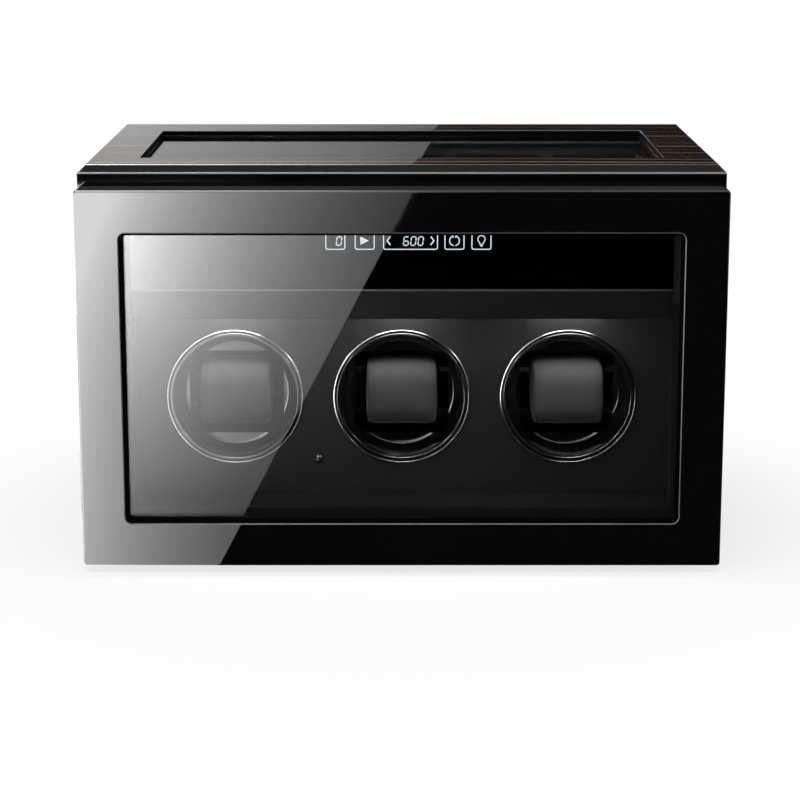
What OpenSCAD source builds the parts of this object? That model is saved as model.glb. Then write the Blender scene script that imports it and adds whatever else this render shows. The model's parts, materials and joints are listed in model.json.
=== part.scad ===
// Watch winder box for three watches, with a glazed front door, a storage tray for five
// watches and a hinged, glazed lid. Millimetres, +Z up, the door faces -Y. The origin is
// on the resting plane, under the middle of the box.

/* [Case] */
// Outside width of the box
case_w = 380; // [360:1:440]
// Depth of the case behind the door
case_d = 230; // [222:1:280]
// Height of the case from its underside to the lid joint
case_h = 213.4; // [210:0.2:240]
// Thickness of the side panels
side_t = 15; // [12:0.5:16]
// Thickness of the base panel
base_t = 12; // [9:0.5:14]
// Thickness of the middle shelf
shelf_t = 9; // [8:0.5:12]
// Thickness of the wall behind the storage tray
rear_wall_t = 15; // [12:0.5:16]
// Thickness of the removable rear panel
service_t = 4; // [3:0.5:6]
// Lap of the rear panel on the case round it
service_lap = 6; // [4:0.5:8]
// Radius of the outer corners seen from the front
corner_r = 2; // [0.5:0.25:3]

/* [Feet] */
// Height of the rubber feet
foot_h = 4; // [3:0.5:10]
// Diameter of the rubber feet
foot_d = 20; // [14:1:26]
// Distance of a foot's middle from the inner faces of the sides
foot_inset_x = 18; // [14:1:40]
// Distance of a foot's middle from the front and back of the case
foot_inset_y = 22; // [15:1:50]

/* [Door] */
// Thickness of the door
door_t = 20; // [18:0.5:24]
// Height of the door
door_h = 225.2; // [222:0.2:236]
// Gap between the door and the case
door_gap = 0.4; // [0.4:0.05:0.6]
// Height of the door's lower edge above the underside of the case
door_reveal = 0.5; // [0:0.1:3]
// Width of the door's side rails
stile_w = 25.5; // [20:0.5:30]
// Height of the door's top rail
top_rail = 24.9; // [20:0.1:30]
// Height of the door's bottom rail
bottom_rail = 26; // [20:0.5:30]
// Radius of the corners of the door's window
window_r = 4; // [2:0.5:8]
// Depth of the door glass behind the door's front face
glass_recess = 8; // [5:0.5:9]
// Thickness of the door glass
door_glass_t = 4; // [3:0.5:5]
// Lap of the glass behind the door's rails
glass_lap = 7; // [5:0.5:9]
// Thickness of the bead that holds the door glass
door_bead_t = 5; // [3:0.5:5.5]
// Width of the black seal that shows round the door glass
seal_w = 2; // [1:0.25:4]
// Thickness of the seal in front of the door glass
seal_t = 2; // [1:0.25:4]
// Distance of the lower magnet from the door's lower edge
magnet_inset = 40; // [20:1:60]
// Distance of the upper magnet under the upper edge of the case
magnet_drop = 27.7; // [10:0.1:60]

/* [Lid] */
// Height of the lid at its edge
lid_h = 24; // [22:0.5:30]
// Gap between the lid and the case
lid_gap = 0.4; // [0.4:0.05:0.6]
// Size of the 45 degree bevel round the lid's top
lid_bevel = 4.4; // [2:0.2:6]
// Thickness of the lid's outer walls
lid_wall = 15; // [12:0.5:16]
// Thickness of the lid's top board
lid_board = 12; // [10:0.5:14]
// Width of the lid's board at the left and right of its window
lid_side_w = 32.8; // [28:0.2:40]
// Width of the lid's board in front of its window
lid_front_w = 37.2; // [30:0.2:44]
// Width of the lid's board behind its window
lid_back_w = 42.7; // [34:0.1:50]
// Depth of the lid glass under the lid's top
lid_glass_recess = 4; // [3:0.5:5]
// Thickness of the lid glass
lid_glass_t = 4; // [3:0.5:5]
// Lap of the lid glass under the board
lid_glass_lap = 6; // [4:0.5:8]

/* [Hinges] */
// Radius of the hinge knuckles
knuckle_r = 2; // [1.8:0.1:2.5]
// Distance of the hinge axis outside the face of the case
hinge_out = 1.2; // [1:0.1:1.6]
// Radius of the hinge pins
hinge_pin_r = 1; // [0.8:0.1:1.2]
// Radial clearance of a hinge pin in its knuckles
pin_clear = 0.05; // [0.02:0.01:0.08]
// Thickness of a hinge leaf
leaf_t = 1; // [0.8:0.1:1.5]
// Width of a hinge leaf on the wood
leaf_w = 11; // [9:0.5:12]
// Length of each door hinge
door_hinge_l = 36; // [24:1:50]
// Distance of the door hinges from the door's ends
door_hinge_inset = 28; // [15:1:50]
// Length of each lid hinge
lid_hinge_l = 48; // [30:1:70]
// Distance of the lid hinges from the middle
lid_hinge_x = 118; // [60:1:130]

/* [Winder compartment] */
// Thickness of the side linings
lining_t = 14; // [8:0.5:18]
// Depth of the front edges of the linings behind the case's front
front_set = 6.6; // [4:0.2:10]
// Depth of the turntable panel behind the case's front
panel_set = 38.6; // [34:0.2:46]
// Thickness of the turntable panel
panel_t = 6; // [4:0.5:9]
// Height of the platform above the base panel
platform_h = 18; // [12:0.5:22]
// Height of the pelmet that hides the light
pelmet_h = 18; // [12:0.5:20]
// Thickness of the pelmet
pelmet_t = 3; // [2:0.5:3.5]
// Thickness of the light's circuit strip
led_t = 1.6; // [1:0.2:2]
// Width of the light's circuit strip
led_w = 9; // [7:0.5:11]
// Number of light chips
led_count = 18; // [6:1:30]

/* [Control panel] */
// Thickness of the glossy control panel
fascia_t = 3; // [2:0.5:4]
// Height of the control panel
fascia_h = 46; // [40:0.5:48]
// Height of the metal line under the control panel
trim_h = 1.2; // [0.8:0.1:2]
// Width of the display module
display_w = 112; // [100:1:130]
// Height of the display module
display_h = 24; // [18:1:30]
// Height of the middle of the display above the control panel's lower edge
display_z = 25; // [20:1:30]
// Thickness of the display module
display_t = 6; // [3:0.5:9]

/* [Turntables] */
// Distance between the turntables
pitch = 102; // [96:1:106]
// Height of the turntables' axis above the platform
axis_h = 61; // [56:0.5:64]
// Outer diameter of a turntable cup
cup_d = 80; // [78:0.5:84]
// Distance that the cups and bezels stand proud of the panel
cup_proud = 1.5; // [0.5:0.25:3]
// Depth of a cup's round bowl
bowl_depth = 16; // [10:0.5:22]
// Wall of a cup
cup_wall = 2; // [1.5:0.1:2.5]
// Width of a cup's pocket
pocket_w = 58; // [54:1:60]
// Height of a cup's pocket
pocket_h = 52; // [50:1:53]
// Depth of a cup's pocket from the rim
pocket_depth = 50; // [44:0.5:54]
// Corner radius of a cup's pocket
pocket_r = 6; // [5:0.5:12]
// Running clearance round a cup
cup_clear = 0.7; // [0.4:0.1:1.2]
// Width of a bezel ring
bezel_w = 1.4; // [1:0.1:3]

/* [Turntable cushions] */
// Width of a turntable cushion
cushion_w = 46; // [40:0.5:48]
// Height of a turntable cushion
cushion_h = 40; // [36:0.5:41]
// Corner radius of a cushion
cushion_r = 12; // [4:1:16]
// Distance that a cushion stands out of its cup
cushion_proud = 3; // [0:0.5:6]
// Clearance of a cushion in its seat
cushion_clear = 0.3; // [0.1:0.05:0.6]

/* [Drive] */
// Gear module
gear_m = 0.8; // [0.6:0.1:1]
// Teeth of the gear on a cup
gear_teeth = 64; // [48:8:64]
// Teeth of the motor pinion
pinion_teeth = 16; // [16:1:18]
// Face width of the gears
gear_face = 6; // [4:0.5:8]
// Thinning of each tooth for backlash
backlash = 0.2; // [0.1:0.02:0.3]
// Radius of the turntable shafts
shaft_r = 3; // [2.5:0.25:4]
// Radius of the motor shafts
motor_shaft_r = 2; // [1.5:0.25:2.5]
// Radial clearance of a shaft in its bearing
shaft_clear = 0.05; // [0.02:0.01:0.08]
// Wall of a shaft bearing
bush_wall = 3; // [2:0.5:4]
// Thickness of the bulkhead that carries the drives
bulkhead_t = 6; // [4:0.5:8]
// Radius of a motor's gear head
motor_head_r = 15; // [13:0.5:17]
// Length of a motor's gear head
motor_head_l = 14; // [10:0.5:20]
// Radius of a motor's can
motor_can_r = 12; // [10:0.5:13]
// Length of a motor's can
motor_can_l = 22; // [16:0.5:26]

/* [Storage tray] */
// Distance that the tray stands above the lid joint
tray_rise = 9.6; // [4:0.2:10]
// Clearance of the tray in the case
tray_clear = 0.5; // [0.3:0.1:0.8]
// Thickness of the tray's deck
deck_t = 5; // [3:0.5:6]
// Thickness of the walls of the tray and its pockets
tray_wall = 3; // [2:0.5:3.5]
// Number of storage pockets
slots = 5; // [3:1:5]
// Distance between the storage pockets
slot_pitch = 62; // [60:0.5:64]
// Width of a storage pocket
slot_w = 53; // [50:0.5:54]
// Length of a storage pocket
slot_l = 84; // [78:1:92]
// Depth of a storage pocket
slot_depth = 48; // [44:0.5:50]
// Corner radius of a storage pocket
slot_r = 5; // [3:0.5:10]
// Width of a storage cushion
pad_w = 46; // [42:0.5:48]
// Length of a storage cushion
pad_l = 64; // [58:0.5:66]
// Corner radius of a storage cushion
pad_r = 14; // [4:1:18]
// Depth of a storage cushion's top under the deck
pad_drop = 6; // [4:0.5:12]

/* [Rear] */
// Radius of the power inlet's flange
inlet_r = 7; // [6:0.5:10]
// Bore radius of the power inlet
inlet_bore_r = 2.8; // [2.5:0.1:3.2]
// Distance of the power inlet from the middle
inlet_x = 130; // [60:1:140]
// Height of the power inlet above the base panel
inlet_z = 20; // [16:1:40]
// Number of ventilation slots in each row
vent_count = 12; // [4:1:14]
// Length of a ventilation slot
vent_l = 26; // [14:1:34]
// Width of a ventilation slot
vent_w = 3; // [2:0.5:4]
// Space between the ventilation slots
vent_gap = 5; // [3:0.5:8]
// Radius of the screw shanks
screw_r = 1.5; // [1:0.1:1.8]
// Radius of the shanks of the small screws in the hinges and motors
small_screw_r = 1.1; // [0.8:0.1:1.2]

/* [Hidden] */
$fn = 96;
EPS = 0.01;
SCREW_CLEAR = 0.03;         // the threads' grip on the wood, drawn as a fine gap
HEAD_RATIO = 1.9;           // head radius over shank radius of a countersunk screw
KNUCKLE_GAP = 0.3;          // end gap between the knuckles, and round them in the wood
SEAT = 0.3;                 // fine fitting gap of panels and glass
SEAL_GAP = 0.05;            // gap between the seal and the edge of the door's window
FASCIA_DROP = 3.4;          // upper edge of the control panel under the lid joint

total_d = door_t + door_gap + case_d;
front_y = -total_d / 2;                 // front face of the door
door_back_y = front_y + door_t;
case_y0 = door_back_y + door_gap;       // front of the case
case_y1 = total_d / 2;                  // back of the case
case_z0 = foot_h;
case_z1 = case_z0 + case_h;             // lid joint, upper edge of the case
floor_z = case_z0 + base_t;
inner_x = case_w / 2 - side_t;

door_z0 = case_z0 + door_reveal;
window_w = case_w - 2 * stile_w;
window_z0 = door_z0 + bottom_rail;
window_h = door_h - top_rail - bottom_rail;
door_glass_y = front_y + glass_recess;
door_bead_y = door_glass_y + door_glass_t;

lid_z0 = case_z1 + lid_gap;
lid_z1 = lid_z0 + lid_h;
lid_window_w = case_w - 2 * lid_side_w;
lid_window_y0 = case_y0 + lid_front_w;
lid_window_y1 = case_y1 - lid_back_w;
lid_glass_z1 = lid_z1 - lid_glass_recess;
lid_glass_z0 = lid_glass_z1 - lid_glass_t;
lid_board_z0 = lid_z1 - lid_board;

platform_z = floor_z + platform_h;
fascia_z = case_z1 - fascia_h - FASCIA_DROP;
shelf_z1 = fascia_z;
shelf_z0 = shelf_z1 - shelf_t;
lining_y = case_y0 + front_set;
fascia_y = lining_y - fascia_t;
lining_x = inner_x - lining_t;
front_rail_t = 12;
front_rail_y1 = lining_y + front_rail_t;
panel_y = case_y0 + panel_set;
trim_z = fascia_z - trim_h;
pelmet_z0 = fascia_z - pelmet_h;
LIP = 0.5;                              // side gap of the pelmet, fascia and metal line

cup_r = cup_d / 2;
cup_y = panel_y - cup_proud;            // rims of the cups
axis_z = platform_z + axis_h;
bezel_in_r = cup_r + cup_clear;
bezel_out_r = bezel_in_r + bezel_w;
cup_xs = [-pitch, 0, pitch];
cup_floor_t = 3;
cup_back_y = cup_y + pocket_depth + cup_floor_t;
hub_l = 5;
hub_r = 9;
gear_y = cup_back_y + hub_l;
gear_run = 2;                           // room between a gear and the bulkhead
bulkhead_y = gear_y + gear_face + gear_run;
bulkhead_y1 = bulkhead_y + bulkhead_t;
bush_flange_t = 1.5;
bush_flange_w = 2;
bush_tail = 4;                          // bearing behind the bulkhead
collar_t = 4;
collar_wall = 3;
gear_pitch_r = gear_m * gear_teeth / 2;
pinion_pitch_r = gear_m * pinion_teeth / 2;
centre_d = gear_pitch_r + pinion_pitch_r;
motor_z = axis_z - centre_d;
motor_socket = 8;                       // depth of the motor shaft in the gear head

cushion_l = pocket_depth + cushion_proud - cushion_clear;   // from near the pocket's floor
deck_z = case_z1 + tray_rise;
tray_x = inner_x - tray_clear;
tray_y0 = front_rail_y1 + tray_clear;
tray_y1 = case_y1 - rear_wall_t - tray_clear;
slot_y = (lid_window_y0 + lid_window_y1) / 2;
slot_xs = [for (i = [0 : slots - 1]) (i - (slots - 1) / 2) * slot_pitch];
slot_floor_z = deck_z - slot_depth;
pad_top = deck_z - pad_drop;

service_z0 = floor_z - service_lap;
service_z1 = shelf_z0 + service_lap;
service_x = inner_x + service_lap;
service_screw_edge = service_lap / 2;
magnet_r = 4;
magnet_t = 5;
strike_t = 2;
magnet_x = case_w / 2 - side_t / 2;
magnet_zs = [door_z0 + magnet_inset, case_z1 - magnet_drop];
lens_r = 3;
lens_rise = 22;                         // sensor above the platform
hinge_screw_l = 8;
panel_screw_l = 14;
foot_screw_l = 10;
motor_screw_l = 6;

door_axis = [-case_w / 2 - hinge_out, case_y0 - door_gap / 2];
door_hinge_zs = [door_z0 + door_hinge_inset,
                 case_z1 - door_hinge_inset - door_hinge_l];
lid_axis = [case_y1 + hinge_out, case_z1 + lid_gap / 2];

// ---------- shared shapes ----------

// Plate in the XY plane with round corners, centred on the origin
module round_rect(w, h, r) {
    square([w - 2 * r, h], center = true);
    square([w, h - 2 * r], center = true);
    for (sx = [-1, 1], sy = [-1, 1])
        translate([sx * (w / 2 - r), sy * (h / 2 - r)]) circle(r);
}

// Stands a shape drawn in XY upright: its X stays, its Y becomes Z, and it runs from y to y + t
module upright(y, t) {
    translate([0, y + t, 0]) rotate([90, 0, 0]) linear_extrude(t) children();
}

// Box from its low corner to its high corner
module block(lo, hi) {
    translate(lo) cube(hi - lo);
}

// Round bar along Y
module rod_y(x, z, y0, y1, r) {
    translate([x, y0, z]) rotate([-90, 0, 0]) cylinder(h = y1 - y0, r = r);
}

// Countersunk screw along +Z, its head's top at z = 0 and its shank running down
module screw(len, r, grow = 0) {
    head_r = r * HEAD_RATIO;
    head_h = head_r - r;
    translate([0, 0, -len]) cylinder(h = len - head_h + EPS, r = r + grow);
    translate([0, 0, -head_h]) cylinder(h = head_h, r1 = r + grow, r2 = head_r + grow);
}

// ---------- gears ----------

PRESSURE = 20;
FLANK_STEPS = 4;
function involute(a) = tan(a) * 180 / PI - a;
function tooth_angle(teeth, r) =
    let (rp = gear_m * teeth / 2, rb = rp * cos(PRESSURE))
    90 / teeth - backlash / 2 / rp * 180 / PI + involute(PRESSURE)
        - involute(acos(min(1, rb / r)));
function at(r, a) = [r * cos(a), r * sin(a)];
function tooth(teeth, turn) =
    let (rp = gear_m * teeth / 2, root = rp - 1.25 * gear_m, tip = rp + gear_m,
         start = max(root, rp * cos(PRESSURE)),
         rs = [for (k = [0 : FLANK_STEPS]) start + (tip - start) * k / FLANK_STEPS])
    concat([at(root, turn - tooth_angle(teeth, start))],
           [for (r = rs) at(r, turn - tooth_angle(teeth, r))],
           [for (k = [0 : FLANK_STEPS]) let (r = rs[FLANK_STEPS - k])
               at(r, turn + tooth_angle(teeth, r))],
           [at(root, turn + tooth_angle(teeth, start))]);

module gear_outline(teeth, phase) {
    polygon([for (i = [0 : teeth - 1]) each tooth(teeth, phase + i * 360 / teeth)]);
}

// ---------- hinges: the axis is Z, the leaf lies along +X, the case side is +Y ----------

module hinge_knuckles(len, on_case, r) {
    third = len / 3;
    for (k = on_case ? [0, 2] : [1])
        translate([0, 0, k * third + (k > 0 ? KNUCKLE_GAP / 2 : 0)])
            cylinder(h = third - KNUCKLE_GAP * (k == 1 ? 1 : 0.5), r = r, $fn = 48);
}

module hinge_leaf(len, gap, on_case) {
    third = len / 3;
    room = knuckle_r + KNUCKLE_GAP;
    difference() {
        union() {
            translate([0, on_case ? gap / 2 : -gap / 2 - leaf_t, 0])
                cube([hinge_out + leaf_w, leaf_t, len]);
            hinge_knuckles(len, on_case, knuckle_r);
        }
        for (k = on_case ? [1] : [0, 2])
            translate([-room, -room, k * third - KNUCKLE_GAP / 2])
                cube([2 * room, 2 * room, third + KNUCKLE_GAP]);
        translate([0, 0, -EPS]) cylinder(h = len + 2 * EPS, r = hinge_pin_r + pin_clear, $fn = 48);
        hinge_screws(len, gap, on_case, SCREW_CLEAR);
    }
}

module hinge_screws(len, gap, on_case, grow = 0) {
    for (z = [len / 5, len / 2, len * 4 / 5])
        translate([hinge_out + leaf_w * 0.6, on_case ? gap / 2 : -gap / 2, z])
            rotate([on_case ? 90 : -90, 0, 0]) screw(hinge_screw_l, small_screw_r, grow);
}

// Room that a hinge takes in the wood: the mortise of its leaf and the hollow for its knuckles
module hinge_room(len, gap, on_case) {
    translate([-hinge_out, on_case ? gap / 2 - EPS : -gap / 2 - leaf_t, 0])
        cube([2 * hinge_out + leaf_w, leaf_t + EPS, len]);
    translate([0, 0, -KNUCKLE_GAP])
        cylinder(h = len + 2 * KNUCKLE_GAP, r = knuckle_r + KNUCKLE_GAP, $fn = 48);
    hinge_screws(len, gap, on_case, SCREW_CLEAR);
}

module at_door_hinges() {
    for (z = door_hinge_zs) translate([door_axis[0], door_axis[1], z]) children();
}

// The lid's hinges run along X, with their leaves towards the front
module at_lid_hinges() {
    for (x = [-lid_hinge_x - lid_hinge_l / 2, lid_hinge_x - lid_hinge_l / 2])
        multmatrix([[0, 0, 1, x], [-1, 0, 0, lid_axis[0]], [0, -1, 0, lid_axis[1]], [0, 0, 0, 1]])
            children();
}

// ---------- case ----------

module side_panel(s) {
    color("#101012") difference() {
        mirror([s < 0 ? 0 : 1, 0, 0])
            block([-case_w / 2, case_y0, case_z0], [-inner_x, case_y1, case_z1]);
        service_room();
        if (s < 0) at_door_hinges() hinge_room(door_hinge_l, door_gap, true);
        if (s > 0) magnets(SCREW_CLEAR);
    }
}
module side_panel_left() side_panel(-1);
module side_panel_right() side_panel(1);

module base_panel() {
    color("#161618") difference() {
        block([-inner_x, case_y0, case_z0], [inner_x, case_y1, floor_z]);
        service_room();
        foot_fixings(SCREW_CLEAR);
    }
}

module mid_shelf() {
    color("#161618") difference() {
        block([-inner_x, lining_y, shelf_z0], [inner_x, case_y1, shelf_z1]);
        service_room();
    }
}

module tray_rear_wall() {
    color("#101012") difference() {
        block([-inner_x, case_y1 - rear_wall_t, shelf_z1], [inner_x, case_y1, case_z1]);
        at_lid_hinges() hinge_room(lid_hinge_l, lid_gap, true);
    }
}

module tray_front_rail() {
    room = display_t + SEAT;
    cable_r = 4;
    cable_inset = 12;                   // from the display's right end
    color("#161618") difference() {
        block([-inner_x, lining_y, shelf_z1], [inner_x, front_rail_y1, case_z1]);
        translate([0, 0, fascia_z + display_z]) upright(lining_y - EPS, room)
            square([display_w + 2 * SEAT, display_h + 2 * SEAT], center = true);
        rod_y(display_w / 2 - cable_inset, fascia_z + display_z, lining_y, front_rail_y1 + EPS,
              cable_r);
    }
}

// Rebate that the removable rear panel sits in
module service_room() {
    block([-service_x, case_y1 - service_t, service_z0], [service_x, case_y1 + 1, service_z1]);
    service_fixings(SCREW_CLEAR);
}

module service_fixings(grow = 0) {
    mid_z = (service_z0 + service_z1) / 2;
    for (x = [-1, 1] * (service_x - service_screw_edge),
         z = [service_z0 + service_screw_edge * 2, mid_z, service_z1 - service_screw_edge * 2])
        translate([x, case_y1, z]) rotate([-90, 0, 0]) screw(panel_screw_l, screw_r, grow);
    for (z = [service_z0 + service_screw_edge, service_z1 - service_screw_edge])
        translate([0, case_y1, z]) rotate([-90, 0, 0]) screw(panel_screw_l, screw_r, grow);
}

module vents() {
    upper_row = 34;                     // above the turntables' axis
    for (row_z = [motor_z, axis_z + upper_row], i = [0 : vent_count - 1])
        translate([(i - (vent_count - 1) / 2) * (vent_w + vent_gap), 0, row_z])
            upright(case_y1 - service_t - 1, service_t + 2)
            round_rect(vent_w, vent_l, vent_w / 2 - EPS);
}

module service_panel() {
    color("#1c1c1f") difference() {
        block([-service_x + SEAT, case_y1 - service_t, service_z0 + SEAT],
              [service_x - SEAT, case_y1, service_z1 - SEAT]);
        vents();
        service_fixings(SCREW_CLEAR);
        rod_y(inlet_x, floor_z + inlet_z, case_y1 - service_t - 1, case_y1 + 1,
              inlet_r - inlet_rim + SCREW_CLEAR);
    }
}

module service_panel_screws() {
    color("#8d8f92") service_fixings();
}

module at_feet() {
    for (sx = [-1, 1], y = [case_y0 + foot_inset_y, case_y1 - foot_inset_y])
        translate([sx * (inner_x - foot_inset_x), y, 0]) children();
}

module foot_fixings(grow = 0) {
    head = screw_r * HEAD_RATIO - screw_r;
    at_feet() translate([0, 0, foot_h - head - 1]) rotate([180, 0, 0])
        screw(foot_screw_l, screw_r, grow);
}

module feet() {
    well = screw_r * HEAD_RATIO + 1;
    color("#1a1a1a") difference() {
        at_feet() {
            cylinder(h = foot_h - 1, r1 = foot_d / 2 - 1, r2 = foot_d / 2);
            translate([0, 0, foot_h - 1 - EPS]) cylinder(h = 1 + EPS, r = foot_d / 2);
        }
        at_feet() translate([0, 0, -EPS])
            cylinder(h = foot_h - (screw_r * HEAD_RATIO - screw_r) - 1 + EPS, r = well);
        foot_fixings(SCREW_CLEAR);
    }
}

module foot_screws() {
    color("#8d8f92") foot_fixings();
}

// ---------- door ----------

module door_frame() {
    glass_z = window_z0 + window_h / 2;
    color("#0c0c0e") difference() {
        translate([0, 0, door_z0 + door_h / 2]) upright(front_y, door_t)
            round_rect(case_w, door_h, corner_r);
        translate([0, 0, glass_z]) upright(front_y - EPS, door_t + 2 * EPS)
            round_rect(window_w, window_h, window_r);
        translate([0, 0, glass_z]) upright(door_glass_y, door_t)
            square([window_w + 2 * glass_lap, window_h + 2 * glass_lap], center = true);
        at_door_hinges() hinge_room(door_hinge_l, door_gap, false);
        strikes(SCREW_CLEAR);
    }
}

module door_glass() {
    color("#7d8790", 0.35) translate([0, 0, window_z0 + window_h / 2])
        upright(door_glass_y, door_glass_t)
            square([window_w + 2 * (glass_lap - SEAT), window_h + 2 * (glass_lap - SEAT)],
                   center = true);
}

// The bead that holds the glass from behind, and the seal that shows in front of it
module door_glass_bead() {
    color("#101012") translate([0, 0, window_z0 + window_h / 2]) {
        upright(door_bead_y, door_bead_t) difference() {
            square([window_w + 2 * (glass_lap - SEAT), window_h + 2 * (glass_lap - SEAT)],
                   center = true);
            round_rect(window_w, window_h, window_r);
        }
        upright(door_glass_y - seal_t, seal_t) difference() {
            round_rect(window_w - 2 * SEAL_GAP, window_h - 2 * SEAL_GAP, window_r);
            round_rect(window_w - 2 * seal_w, window_h - 2 * seal_w, max(0.5, window_r - seal_w));
        }
    }
}

module door_hinge_case_leaves() {
    color("#9a9ca0") at_door_hinges() hinge_leaf(door_hinge_l, door_gap, true);
}
module door_hinge_door_leaves() {
    color("#9a9ca0") at_door_hinges() hinge_leaf(door_hinge_l, door_gap, false);
}
module door_hinge_pins() {
    color("#b9bbbe") at_door_hinges() cylinder(h = door_hinge_l, r = hinge_pin_r, $fn = 48);
}

module magnets(grow = 0) {
    for (z = magnet_zs) rod_y(magnet_x, z, case_y0 - (grow > 0 ? EPS : 0),
                              case_y0 + magnet_t, magnet_r + grow);
}
module strikes(grow = 0) {
    for (z = magnet_zs) rod_y(magnet_x, z, door_back_y - strike_t,
                              door_back_y + (grow > 0 ? EPS : 0), magnet_r + grow);
}
module door_magnets() color("#b0b2b6") magnets();
module door_strikes() color("#b9bbbe") strikes();

// ---------- lid ----------

module lid_frame() {
    b = lid_bevel;
    w = case_w / 2;
    glass_mid_y = (lid_window_y0 + lid_window_y1) / 2;
    window_l = lid_window_y1 - lid_window_y0;
    color("#3a2117") difference() {
        intersection() {
            upright(case_y0, case_d) polygon([[-w, lid_z0], [w, lid_z0], [w, lid_z1 - b],
                [w - b, lid_z1], [-w + b, lid_z1], [-w, lid_z1 - b]]);
            rotate([90, 0, 90]) translate([0, 0, -w]) linear_extrude(2 * w)
                polygon([[case_y0, lid_z0], [case_y1, lid_z0], [case_y1, lid_z1 - b],
                    [case_y1 - b, lid_z1], [case_y0 + b, lid_z1], [case_y0, lid_z1 - b]]);
        }
        block([-w + lid_wall, case_y0 + lid_wall, lid_z0 - 1],
              [w - lid_wall, case_y1 - lid_wall, lid_board_z0]);
        block([-lid_window_w / 2, lid_window_y0, lid_z0], [lid_window_w / 2, lid_window_y1, lid_z1 + 1]);
        translate([0, glass_mid_y, lid_board_z0 - EPS]) linear_extrude(lid_glass_z1 - lid_board_z0 + EPS)
            square([lid_window_w + 2 * lid_glass_lap, window_l + 2 * lid_glass_lap], center = true);
        at_lid_hinges() hinge_room(lid_hinge_l, lid_gap, false);
    }
}

module lid_pane(z0, z1, cut) {
    window_l = lid_window_y1 - lid_window_y0;
    lap = 2 * (lid_glass_lap - SEAT);
    translate([0, (lid_window_y0 + lid_window_y1) / 2, z0]) linear_extrude(z1 - z0) difference() {
        square([lid_window_w + lap, window_l + lap], center = true);
        if (cut) square([lid_window_w, window_l], center = true);
    }
}
module lid_glass() color("#7d8790", 0.35) lid_pane(lid_glass_z0, lid_glass_z1, false);
module lid_glass_bead() color("#101012") lid_pane(lid_board_z0, lid_glass_z0, true);

module lid_hinge_case_leaves() {
    color("#9a9ca0") at_lid_hinges() hinge_leaf(lid_hinge_l, lid_gap, true);
}
module lid_hinge_lid_leaves() {
    color("#9a9ca0") at_lid_hinges() hinge_leaf(lid_hinge_l, lid_gap, false);
}
module lid_hinge_pins() {
    color("#b9bbbe") at_lid_hinges() cylinder(h = lid_hinge_l, r = hinge_pin_r, $fn = 48);
}

module hinge_screws_case() {
    color("#8d8f92") {
        at_door_hinges() hinge_screws(door_hinge_l, door_gap, true);
        at_lid_hinges() hinge_screws(lid_hinge_l, lid_gap, true);
    }
}
module hinge_screws_door() {
    color("#8d8f92") at_door_hinges() hinge_screws(door_hinge_l, door_gap, false);
}
module hinge_screws_lid() {
    color("#8d8f92") at_lid_hinges() hinge_screws(lid_hinge_l, lid_gap, false);
}

// ---------- winder compartment ----------

module side_lining(s) {
    color("#232326") mirror([s < 0 ? 0 : 1, 0, 0])
        block([-inner_x, lining_y, floor_z], [-lining_x, panel_y + panel_t, shelf_z0]);
}
module side_lining_left() side_lining(-1);
module side_lining_right() side_lining(1);

module platform() {
    color("#232326")
        block([-lining_x, lining_y, floor_z], [lining_x, panel_y + panel_t, platform_z]);
}

module turntable_panel() {
    color("#28282b") difference() {
        block([-lining_x, panel_y, platform_z], [lining_x, panel_y + panel_t, shelf_z0]);
        for (x = cup_xs) rod_y(x, axis_z, panel_y - 1, panel_y + panel_t + 1, bezel_out_r);
        sensor(SCREW_CLEAR);
    }
}

module turntable_bezels() {
    color("#d5d7da") for (x = cup_xs) difference() {
        rod_y(x, axis_z, panel_y - cup_proud, panel_y + panel_t, bezel_out_r);
        rod_y(x, axis_z, panel_y - cup_proud - 1, panel_y + panel_t + 1, bezel_in_r);
    }
}

// Small domed window low between the left and the middle turntable
module sensor(grow = 0) {
    translate([-pitch / 2, panel_y, platform_z + lens_rise]) rotate([-90, 0, 0]) {
        cylinder(h = panel_t, r = lens_r + grow);
        if (grow == 0) intersection() {
            sphere(r = lens_r);
            translate([0, 0, -lens_r]) cylinder(h = lens_r, r = lens_r + 1);
        }
    }
}
module sensor_lens() color("#303640") sensor();

module pelmet() {
    color("#1b1b1e")
        block([-lining_x + LIP, lining_y - pelmet_t, pelmet_z0], [lining_x - LIP, lining_y, trim_z]);
}
module fascia_trim() {
    color("#a8abb0")
        block([-lining_x + LIP, lining_y - fascia_t, trim_z], [lining_x - LIP, lining_y, fascia_z]);
}
module control_fascia() {
    color("#050507")
        block([-lining_x + LIP, fascia_y, fascia_z], [lining_x - LIP, lining_y, fascia_z + fascia_h]);
}
display_face_t = 2;
display_rim_x = 6;
display_rim_z = 4;
module display_module() {
    color("#1f4d2e") translate([0, 0, fascia_z + display_z]) {
        upright(lining_y, display_face_t)
            square([display_w - display_rim_x, display_h - display_rim_z], center = true);
        upright(lining_y + display_face_t, display_t - display_face_t)
            square([display_w, display_h], center = true);
    }
}

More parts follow.
